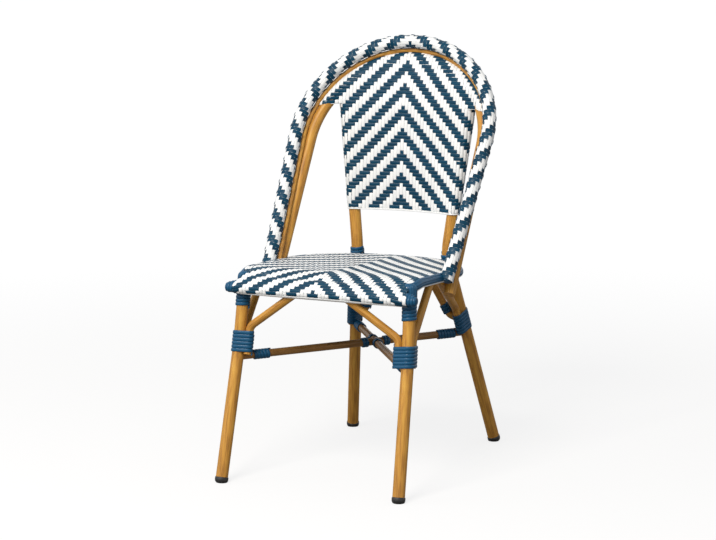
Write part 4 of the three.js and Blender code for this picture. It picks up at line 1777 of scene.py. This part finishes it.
@dataclass
class SeatWeave(WovenPart):
    """The seat: a twill sheet over the ring that runs on down round the front rail."""

    apex_x: float = -8.5
    column_pitch: float = 8.1
    row_pitch: float = 8.45
    tip_row: int = 54
    tip_depth: float = 35.3
    nose_pitch: float = 7.1
    nose_rows: int = 6
    middle: tuple[float, float] = (0.0, 260.0)
    rows_behind: int = 4
    rows_below: int = 12
    hem_row: int = 2
    half_reach: float = 230.0
    skin: float = 11.6
    rail_skin: float = 11.4
    sag: float = 2.0
    sag_reach: float = 120.0
    rail_reach: float = 195.0
    cap_top: float = 421.0
    front_half_width: float = 201.0
    edge_reach: float = 3.6
    front_angles: tuple[float, float] = (68.0, 40.0)
    ring_gap: float = 2.0
    ring_skin: float = 1.5
    strap_lift: float = 0.3
    rail_end_angle: float = math.radians(222)
    edge_angles: tuple[float, ...] = (32.0, 64.0, 96.0)
    edge_width: float = 6.6
    edge_thickness: float = 2.2
    piping_angle: float = 120.0
    piping_width: float = 2.8
    hem_strap: tuple[float, float] = (8.2, 2.4)
    hem_points: int = 120

    def __post_init__(self) -> None:
        """Keeps the ring's line in plan and its outward directions."""
        self.line = self.plan.ring_plan()
        forward = tangents(self.line)
        across = np.stack([-forward[:, 1], forward[:, 0]], 1)
        self.outward = turned_to(across, self.line - self.middle)

    def nearest(self, x: Array, y: Array) -> tuple[Array, Array, Array]:
        """The nearest place on the ring's line.

        Args:
            x: the points' places to the right.
            y: their depths.

        Returns:
            The places, the outward directions there and the signed distances, outside positive.
        """
        at = np.stack([x, y], 1)
        best, share, spots = nearest_on_line(self.line, at)
        ways = unit(mixed(self.outward[best], self.outward[best + 1], share[:, None]))
        gap = at - spots
        distance = np.linalg.norm(gap, axis=1) * np.sign((gap * ways).sum(1) + 1e-9)
        return spots, ways, distance

    def flat(self, u: Array, v: Array) -> tuple[Array, Array]:
        """A cell's place on the unrolled sheet.

        Args:
            u: the columns.
            v: the rows.

        Returns:
            The places to the right, and the depths.
        """
        on_nose = np.clip(self.tip_row - v, 0, self.nose_rows)
        y = self.tip_depth + self.nose_pitch * on_nose
        y = y + self.row_pitch * (self.tip_row - v - on_nose)
        return self.apex_x + self.column_pitch * u, y

    def front_share(self, ways: Array) -> Array:
        """How much a place belongs to the front edge, by its outward direction."""
        return smooth_share(-ways[:, 1], *(math.cos(math.radians(a)) for a in self.front_angles))

    def hull(self, x: Array, spots: Array, ways: Array, distance: Array) -> tuple[Array, Array]:
        """Points on the skin that runs from the ring down round the rail.

        Args:
            x: the points' places to the right on the unrolled sheet.
            spots: the nearest places on the ring's line.
            ways: the outward directions there.
            distance: the distances beyond the ring's line.

        Returns:
            The points, and the angle at which the skin faces there.
        """
        plan, big, small = self.plan, self.skin, self.rail_skin
        height = plan.ring_height(spots[:, 1])
        rail_depth = plan.rail_depth - plan.bow(x)
        forward = spots[:, 1] - rail_depth
        drop = plan.rail_height - height
        gap = np.hypot(forward, drop)
        leave = np.arctan2(forward, drop) % (2 * math.pi) - np.arccos((big - small) / gap)
        straight = np.sqrt(gap**2 - (big - small) ** 2)
        first = big * leave
        angle = np.minimum(distance / big, leave)
        on_ring = np.column_stack(
            [spots + ways * (big * np.sin(angle))[:, None], height + big * np.cos(angle)]
        )
        past = np.maximum(distance - first - straight, 0) / small
        turn = leave + past
        rail_y, rail_z = rail_depth - small * np.sin(turn), plan.rail_height + small * np.cos(turn)
        on_rail = np.column_stack([x, rail_y, rail_z])
        share = np.clip((distance - first) / straight, 0, 1)[:, None]
        return mixed(on_ring, on_rail, share), np.where(distance > first + straight, turn, angle)

    def surface(self, u: Array, v: Array, part: Array | None = None) -> Array:
        """The seat's surface at columns and rows.

        Args:
            u: the columns.
            v: the rows.
            part: not used here.

        Returns:
            Points in millimetres.
        """
        x, y = self.flat(u, v)
        spots, ways, distance = self.nearest(x, y)
        height = self.plan.ring_height(y)
        sag = self.sag * smooth_share(-distance, 0.0, self.sag_reach)
        sheet = np.column_stack([x, y, height + self.skin - sag])
        angle = np.maximum(distance, 0) / self.skin
        round_z = self.plan.ring_height(spots[:, 1]) + self.skin * np.cos(angle)
        wrapped = np.column_stack([spots + ways * (self.skin * np.sin(angle))[:, None], round_z])
        hull, _ = self.hull(x, spots, ways, np.maximum(distance, 0))
        outside = mixed(wrapped, hull, self.front_share(ways)[:, None])
        return np.where((distance > 0)[:, None], outside, sheet)

    def cell_table(self) -> tuple[range, range, dict, dict]:
        """Which cells the seat has, and how far each lies beyond the ring's line.

        Returns:
            The columns, the rows, whether the seat has a cell, and its distance outwards.
        """
        half = int(self.half_reach / self.column_pitch)
        columns = range(-half, half + 1)
        rows = range(-self.rows_behind, self.tip_row + self.rows_below)
        grid = [(c, r) for c in columns for r in rows]
        u, v = (np.array(k, float) for k in zip(*grid))
        x, y = self.flat(u, v)
        spots, ways, distance = self.nearest(x, y)
        skin, facing = self.hull(x, spots, ways, np.maximum(distance, 0))
        front = self.front_share(ways) > 0.5
        beside_cap = (np.abs(x) <= self.rail_reach) | (skin[:, 2] > self.cap_top)
        on_front = front & (np.abs(x) <= self.front_half_width) & beside_cap
        on_front &= facing < self.rail_end_angle
        has = (distance < self.edge_reach) & ~front | on_front | (distance <= 0)
        return columns, rows, dict(zip(grid, has)), dict(zip(grid, distance))

    def hem(self) -> Body:
        """The white strap along the front's lower edge.

        Returns:
            Its body.
        """
        reach = self.rail_reach / self.column_pitch
        u = np.linspace(-reach, reach, self.hem_points) - self.apex_x / self.column_pitch
        line, low = (
            self.surface(u, np.full(len(u), self.tip_row + self.hem_row + way))
            for way in (-0.05, 0.05)
        )
        down = unit(low - line)
        outward = turned_to(unit(np.cross(down, tangents(line))), (0, -1, 0))
        section = strap_section(*self.hem_strap)
        return swept(line + outward * self.strap_lift, section, frames=(down, outward))

    def edging(self, angles: Sequence[float], width: float) -> list[Body]:
        """Straps along the ring's outer side, from corner to corner.

        Args:
            angles: where each lies round the ring, in degrees outwards from the top.
            width: their width.

        Returns:
            A body for each.
        """
        path = self.plan.ring_path()
        ways = np.column_stack([self.outward, np.zeros(len(self.outward))])
        keep = self.front_share(self.outward) < 0.5
        path, ways = path[keep], ways[keep]
        split = np.argmax(np.linalg.norm(np.diff(path, axis=0), axis=1)) + 1
        path = np.concatenate([path[split:], path[1:split]])
        ways = np.concatenate([ways[split:], ways[1:split]])
        up = np.array([0.0, 0.0, 1.0])
        bodies = []
        section = strap_section(width, self.edge_thickness)
        for k, degrees in enumerate(angles):
            angle = math.radians(degrees)
            across = math.cos(angle) * ways - math.sin(angle) * up
            outward = math.sin(angle) * ways + math.cos(angle) * up
            line = path + outward * (self.skin + self.strap_lift)
            bodies.append(swept(line, section, frames=(across, outward), tone=0.3 + 0.2 * k))
        return bodies

    def build(self) -> None:
        """Builds the seat's straps, its painted-shade core, its edging and the ring's binding."""
        columns, rows, has, distance = self.cell_table()
        margin = self.plan.ring_radius + self.ring_gap
        sheet = {cell for cell, there in has.items() if there}
        below = {cell for cell, beyond in distance.items() if beyond < -margin}
        woven = {cell for cell in sheet if cell[1] != self.tip_row + self.hem_row}
        cell = (self.column_pitch, self.row_pitch)
        face, rear = (Weave(self.surface, columns, rows, cells, cell) for cells in (woven, below))
        self.add_strands("seat_weave", 21, face, rear)
        # The grey core under the straps is painted shade for the gaps between them.
        self.add_core("seat_weave", face.shell(sheet))
        section = circle(self.plan.ring_radius + self.ring_skin, ROD_SIDES)
        ring = swept(self.plan.ring_path(), section)
        binding = joined([*self.edging(self.edge_angles, self.edge_width), ring])
        navy, white = self.finishes.navy, self.finishes.white
        add_piece("seat_edge_binding", binding, navy, ["seat_weave"])
        piping = joined([*self.edging([self.piping_angle], self.piping_width), self.hem()])
        add_piece("seat_hem", piping, white, ["seat_weave"])


@dataclass
class BackWeave(WovenPart):
    """The back: a twill sheet that wraps round the uprights and over the inner hoop."""

    apex_x: float = -7.5
    tip_height: float = 858.1
    row_pitch: float = 8.175
    low_pitch: tuple[float, float] = (540.0, 7.8)
    high_pitch: tuple[float, float] = (760.0, 7.75)
    bottom: float = 530.0
    shoulder: float = 761.0
    shoulder_ease: float = 0.3
    contact_turn: tuple[float, float] = (16.0, 90.0)
    contact_points: int = 160
    skin: float = 14.8
    half_columns: int = 34
    rows_over: int = 8
    strap_width: float = 8.9
    edge_gap: float = 4.0
    hem_strap: tuple[float, float] = (3.2, 3.2)
    hem_points: int = 260
    hem_drop: float = 1.2
    hem_lift: float = 0.2
    upright_reach: float = math.radians(250)
    hoop_reach: float = math.radians(205)
    centre_heights: tuple[float, ...] = (527, 530, 614, 663, 712, 760, 810, 845, 859, 870)
    centre_depths: tuple[float, ...] = (489, 489, 490, 493, 496, 499, 510, 521, 526.4, 528)

    def __post_init__(self) -> None:
        """Keeps the line along which the sheet meets the inner hoop."""
        hoop = self.plan.inner
        lean = math.atan(hoop.lean)
        turn = np.linspace(*np.radians(self.contact_turn), self.contact_points)
        up, along_up = np.sin(turn), np.cos(turn)
        along = np.stack([-up, along_up * math.sin(lean), along_up * math.cos(lean)], 1)
        self.centre = hoop.place(hoop.bend * np.cos(turn), hoop.bend * np.sin(turn))
        facing = np.array([0.0, -1.0, 0.0])
        self.facing = unit(facing - along * (along @ facing)[:, None])
        self.out = turned_to(np.cross(along, self.facing), (1, 0, 1))
        self.contact = self.centre + self.facing * self.skin
        upright = self.plan.legs()["rear"]
        self.upright = upright[upright[:, 2] > hoop.base_height]

    def flat(self, u: Array, v: Array) -> tuple[Array, Array]:
        """A cell's place on the unrolled sheet.

        Args:
            u: the columns.
            v: the rows.

        Returns:
            The places to the right, and the heights.
        """
        z = self.tip_height - self.row_pitch * (v + 0.5)
        (low, low_pitch), (high, high_pitch) = self.low_pitch, self.high_pitch
        pitch = mixed(low_pitch, high_pitch, np.minimum((z - low) / (high - low), 1.0))
        return self.apex_x + pitch * u, z

    def edge(self, z: Array) -> tuple[Array, Array]:
        """The upright's centre at a height: half span and depth."""
        return tuple(looked_up(z, self.upright[:, 2], self.upright[:, :2]).T)

    def beyond(self, x: Array, z: Array) -> tuple[Array, Array]:
        """The nearest place on the contact line, and how far outside it a point lies.

        Args:
            x: places to the right.
            z: heights.

        Returns:
            Places as fractional numbers of the contact line, and signed distances.
        """
        line = self.contact[:, [0, 2]]
        at = np.stack([np.abs(x), z], 1)
        best, share, spots = nearest_on_line(line, at)
        leg = np.diff(line, axis=0)[best]
        side = ((at - spots) * np.stack([leg[:, 1], -leg[:, 0]], 1)).sum(1)
        return best + share, np.linalg.norm(at - spots, axis=1) * np.sign(side + 1e-9)

    def surface(self, u: Array, v: Array, part: Array) -> Array:
        """The back's surface at columns and rows.

        Args:
            u: the columns.
            v: the rows.
            part: BELOW or ABOVE the shoulder.

        Returns:
            Points in millimetres.
        """
        x, z = self.flat(u, v)
        side, span = np.sign(x + 1e-9), np.abs(x)
        edge_x, edge_y = self.edge(z)
        centre_y = np.interp(z, self.centre_heights, self.centre_depths)
        front_y = edge_y - self.skin
        sheet_y = mixed(centre_y, front_y, np.minimum(span / edge_x, 1.0) ** 2)
        turn = np.maximum(span - edge_x, 0) / self.skin
        lower_x = side * (np.minimum(span, edge_x) + self.skin * np.sin(turn))
        lower_y = np.where(turn > 0, edge_y - self.skin * np.cos(turn), sheet_y)
        lower = np.stack([lower_x, lower_y, z], 1)
        above = part > (BELOW + ABOVE) / 2
        if not above.any():
            return lower
        x, z, side, span = x[above], z[above], side[above], span[above]
        edge_x, centre_y, front_y = edge_x[above], centre_y[above], front_y[above]
        place, distance = self.beyond(x, z)
        steps = np.arange(len(self.contact))
        centre, facing, out = (
            looked_up(place, steps, rows) for rows in (self.centre, self.facing, self.out)
        )
        line = self.contact[np.argsort(self.contact[:, 2])]
        reach_x, reach_y = looked_up(z, line[:, 2], line[:, :2]).T
        over = z > self.plan.upright_top
        near_x = np.where(over, reach_x, edge_x)
        near_y = np.where(over, reach_y, front_y)
        inner_y = mixed(centre_y, near_y, np.minimum(span / np.maximum(near_x, 1), 1.0) ** 2)
        share = np.clip((span - edge_x) / np.maximum(reach_x - edge_x, 1.0), 0, 1)
        outer_y = mixed(front_y, reach_y, share * mixed(self.shoulder_ease, 1.0, share))
        inner_y = np.where(~over & (span > edge_x), outer_y, inner_y)
        turn = np.maximum(distance, 0)[:, None] / self.skin
        wrapped = centre + self.skin * (np.cos(turn) * facing + np.sin(turn) * out)
        wrapped[:, 0] *= side
        upper = np.where((distance > 0)[:, None], wrapped, np.stack([x, inner_y, z], 1))
        lower[above] = upper
        return lower

    def part_of(self, column: float, row: float) -> float:
        """Whether a place is BELOW or ABOVE the shoulder."""
        return BELOW if self.flat(column, row)[1] < self.shoulder else ABOVE

    def cells(self, columns: range, rows: range) -> tuple[set, ...]:
        """Which cells the back has.

        Args:
            columns: the columns to look at.
            rows: the rows.

        Returns:
            The cells of the face, those of the rear face, and those whose warp is cut above
            because the shoulder lies there.
        """
        grid = [(c, r) for c in columns for r in rows]
        u, v = np.array(grid, float).T
        x, z = self.flat(u, v)
        _, above = self.flat(u, v - 1)
        edge_x, _ = self.edge(z)
        _, distance = self.beyond(x, z)
        low, span = z < self.shoulder, np.abs(x)
        round_upright = span < edge_x + self.upright_reach * self.skin
        face = np.where(low, round_upright, distance < self.hoop_reach * self.skin)
        rear = np.where(low, span < edge_x, distance < -self.edge_gap)
        cut = low & (above >= self.shoulder) & (span > edge_x - self.edge_gap)
        used = z >= self.bottom
        return tuple(
            {cell for cell, keep in zip(grid, chosen & used) if keep}
            for chosen in (face, rear, cut)
        )

    def hem(self) -> Body:
        """The pale strap along the panel's straight lower edge, round both uprights.

        Returns:
            Its body.
        """
        v = (self.tip_height - self.bottom + self.hem_drop) / self.row_pitch - 0.5
        edge_x, _ = self.edge(np.array([self.bottom]))
        reach = (edge_x[0] + self.upright_reach * self.skin) / self.low_pitch[1]
        u = np.linspace(-reach, reach, self.hem_points)
        line = self.surface(u, np.full(len(u), v), np.full(len(u), BELOW))
        up = np.tile([0.0, 0.0, 1.0], (len(line), 1))
        outward = unit(np.cross(tangents(line), up))
        section = strap_section(*self.hem_strap)
        return swept(line + outward * self.hem_lift, section, frames=(up, outward))

    def build(self) -> None:
        """Builds the back's straps, its painted-shade core and its hem."""
        rows = range(-self.rows_over, int((self.tip_height - self.bottom) / self.row_pitch) + 1)
        columns = range(-self.half_columns, self.half_columns + 1)
        *sides, cut_cells = self.cells(columns, rows)
        cell = (self.strap_width, self.row_pitch)
        special = {"broken": cut_cells, "part_of": self.part_of}
        face, rear = (Weave(self.surface, columns, rows, cells, cell, **special) for cells in sides)
        self.add_strands("back_weave", 31, face, rear)
        # The grey core under the straps is painted shade for the gaps between them.
        self.add_core("back_weave", face.shell(face.cells))
        white = self.finishes.white
        add_piece("back_weave_hem", self.hem(), white, ["back_weave"])


# --- studio -------------------------------------------------------------------------------


@dataclass(frozen=True)
class Lamp:
    """A square soft lamp that faces the seat, with its place and size in metres."""

    name: str
    place: tuple[float, float, float]
    size: float
    watts: float
    colour: str
    target: tuple[float, float, float] = (0.0, 0.0, 0.45)

    def build(self) -> None:
        """Hangs the lamp."""
        data = bpy.data.lights.new(self.name, "AREA")
        data.shape = "SQUARE"
        data.size = self.size
        data.energy = self.watts
        data.color = linear(self.colour)[:3]
        obj = add_object(self.name, data)
        obj.location = self.place
        way = Vector(self.target) - Vector(self.place)
        obj.rotation_euler = way.to_track_quat("-Z", "Y").to_euler()


@dataclass(frozen=True)
class Studio:
    """A pale floor, soft light and the camera, in metres and degrees."""

    camera_place: tuple[float, float, float] = (2.1227, -4.6373, 1.2532)
    camera_turn: tuple[float, float, float] = (80.75, 0.0, 24.85)
    lens: float = 120.67
    sensor: float = 36.0
    lamps: tuple[Lamp, ...] = (
        Lamp("key", (-0.2, -2.9, 3.0), 1.5, 125.0, "#FFF9F2"),
        Lamp("fill", (-2.6, -2.2, 1.6), 2.2, 20.0, "#F6F9FF"),
    )
    world_colour: str = "#F4F6FA"
    world_strength: float = 0.52
    floor_half_size: float = 40.0
    paper: str = "#8E8C89"
    paper_seen: str = "#F2F1EF"
    glow: float = 1.01
    glow_shares: tuple[float, float] = (0.79, 1.0)
    glow_reaches: tuple[float, float] = (0.7, 3.2)

    def floor(self) -> None:
        """A floor that shows near white to the camera and keeps the chair's shadow."""
        corners = [(-1, -1, 0), (1, -1, 0), (1, 1, 0), (-1, 1, 0)]
        points = np.array(corners) * self.floor_half_size
        obj = mesh_object("studio_floor", points, np.array([[0, 1, 2, 3]]))
        material = bpy.data.materials.new("matt studio paper")
        material.use_nodes = True
        tree = material.node_tree
        tree.nodes.clear()
        seen = add_node(tree, "ShaderNodeLightPath").outputs["Is Camera Ray"]
        shades = {0: seen, 6: linear(self.paper), 7: linear(self.paper_seen)}
        shade = add_node(tree, "ShaderNodeMix", {"data_type": "RGBA"}, shades)
        paper = add_node(tree, "ShaderNodeBsdfDiffuse", None, {"Color": shade.outputs[2]})
        white = {"Color": (1, 1, 1, 1), "Strength": self.glow}
        glow = add_node(tree, "ShaderNodeEmission", None, white)
        place = add_node(tree, "ShaderNodeTexCoord").outputs["Object"]
        away = add_node(tree, "ShaderNodeVectorMath", {"operation": "LENGTH"}, {0: place})
        ranges = dict(enumerate((*self.glow_reaches, *self.glow_shares), 1))
        washed = add_node(
            tree,
            "ShaderNodeMapRange",
            {"interpolation_type": "SMOOTHSTEP"},
            {0: away.outputs["Value"], **ranges},
        )
        shares = {0: seen, 1: washed.outputs[0]}
        share = add_node(tree, "ShaderNodeMath", {"operation": "MULTIPLY"}, shares)
        both = {0: share.outputs[0], 1: paper.outputs[0], 2: glow.outputs[0]}
        mix = add_node(tree, "ShaderNodeMixShader", None, both)
        add_node(tree, "ShaderNodeOutputMaterial", None, {0: mix.outputs[0]})
        obj.data.materials.append(material)

    def world(self) -> None:
        """Even light from all round, and a white background for the camera."""
        world = bpy.data.worlds.new("studio")
        bpy.context.scene.world = world
        world.use_nodes = True
        tree = world.node_tree
        tree.nodes.clear()
        path = add_node(tree, "ShaderNodeLightPath").outputs
        seen = path["Is Camera Ray"]
        for other in ("Is Glossy Ray", "Is Transmission Ray"):
            either = {0: seen, 1: path[other]}
            seen = add_node(tree, "ShaderNodeMath", {"operation": "MAXIMUM"}, either).outputs[0]
        light, white = (
            add_node(tree, "ShaderNodeBackground", None, {"Color": colour, "Strength": strength})
            for colour, strength in (
                (linear(self.world_colour), self.world_strength),
                ((1, 1, 1, 1), 1.0),
            )
        )
        both = {0: seen, 1: light.outputs[0], 2: white.outputs[0]}
        mix = add_node(tree, "ShaderNodeMixShader", None, both)
        add_node(tree, "ShaderNodeOutputWorld", None, {0: mix.outputs[0]})

    def camera(self) -> None:
        """The camera at the photograph's angle."""
        data = bpy.data.cameras.new("camera")
        data.sensor_width = self.sensor
        data.sensor_fit = "HORIZONTAL"
        data.lens = self.lens
        obj = add_object("camera", data)
        obj.location = self.camera_place
        obj.rotation_euler = tuple(math.radians(a) for a in self.camera_turn)
        bpy.context.scene.camera = obj

    def build(self) -> None:
        """Builds the stage, the light and the camera."""
        self.camera()
        self.floor()
        self.world()
        for lamp in self.lamps:
            lamp.build()
        bpy.context.scene.view_settings.view_transform = "Standard"


def main() -> None:
    """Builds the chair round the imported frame, and the studio round the chair."""
    logging.basicConfig(level=logging.INFO, format="%(name)s %(message)s")
    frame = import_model()
    Studio().build()
    plan, finishes, tree = ChairPlan(), Finishes.make(), FloatTree()
    rods = Rods(plan, finishes)
    bindings = Bindings(plan, finishes, rods)
    for part in (TubeFrame(plan, finishes), Glides(plan, finishes), rods, bindings):
        part.build()
    for woven in (HoopSleeve, SeatWeave, BackWeave):
        woven(plan, finishes, tree).build()
    for name in ("seat_ring", "seat_front_rail", "outer_hoop"):
        frame["nodes"][name].data.materials.clear()
        frame["nodes"][name].data.materials.append(finishes.navy)
    LOG.info("built the chair round %d CAD nodes", len(frame["nodes"]))


if __name__ == "__main__":
    main()
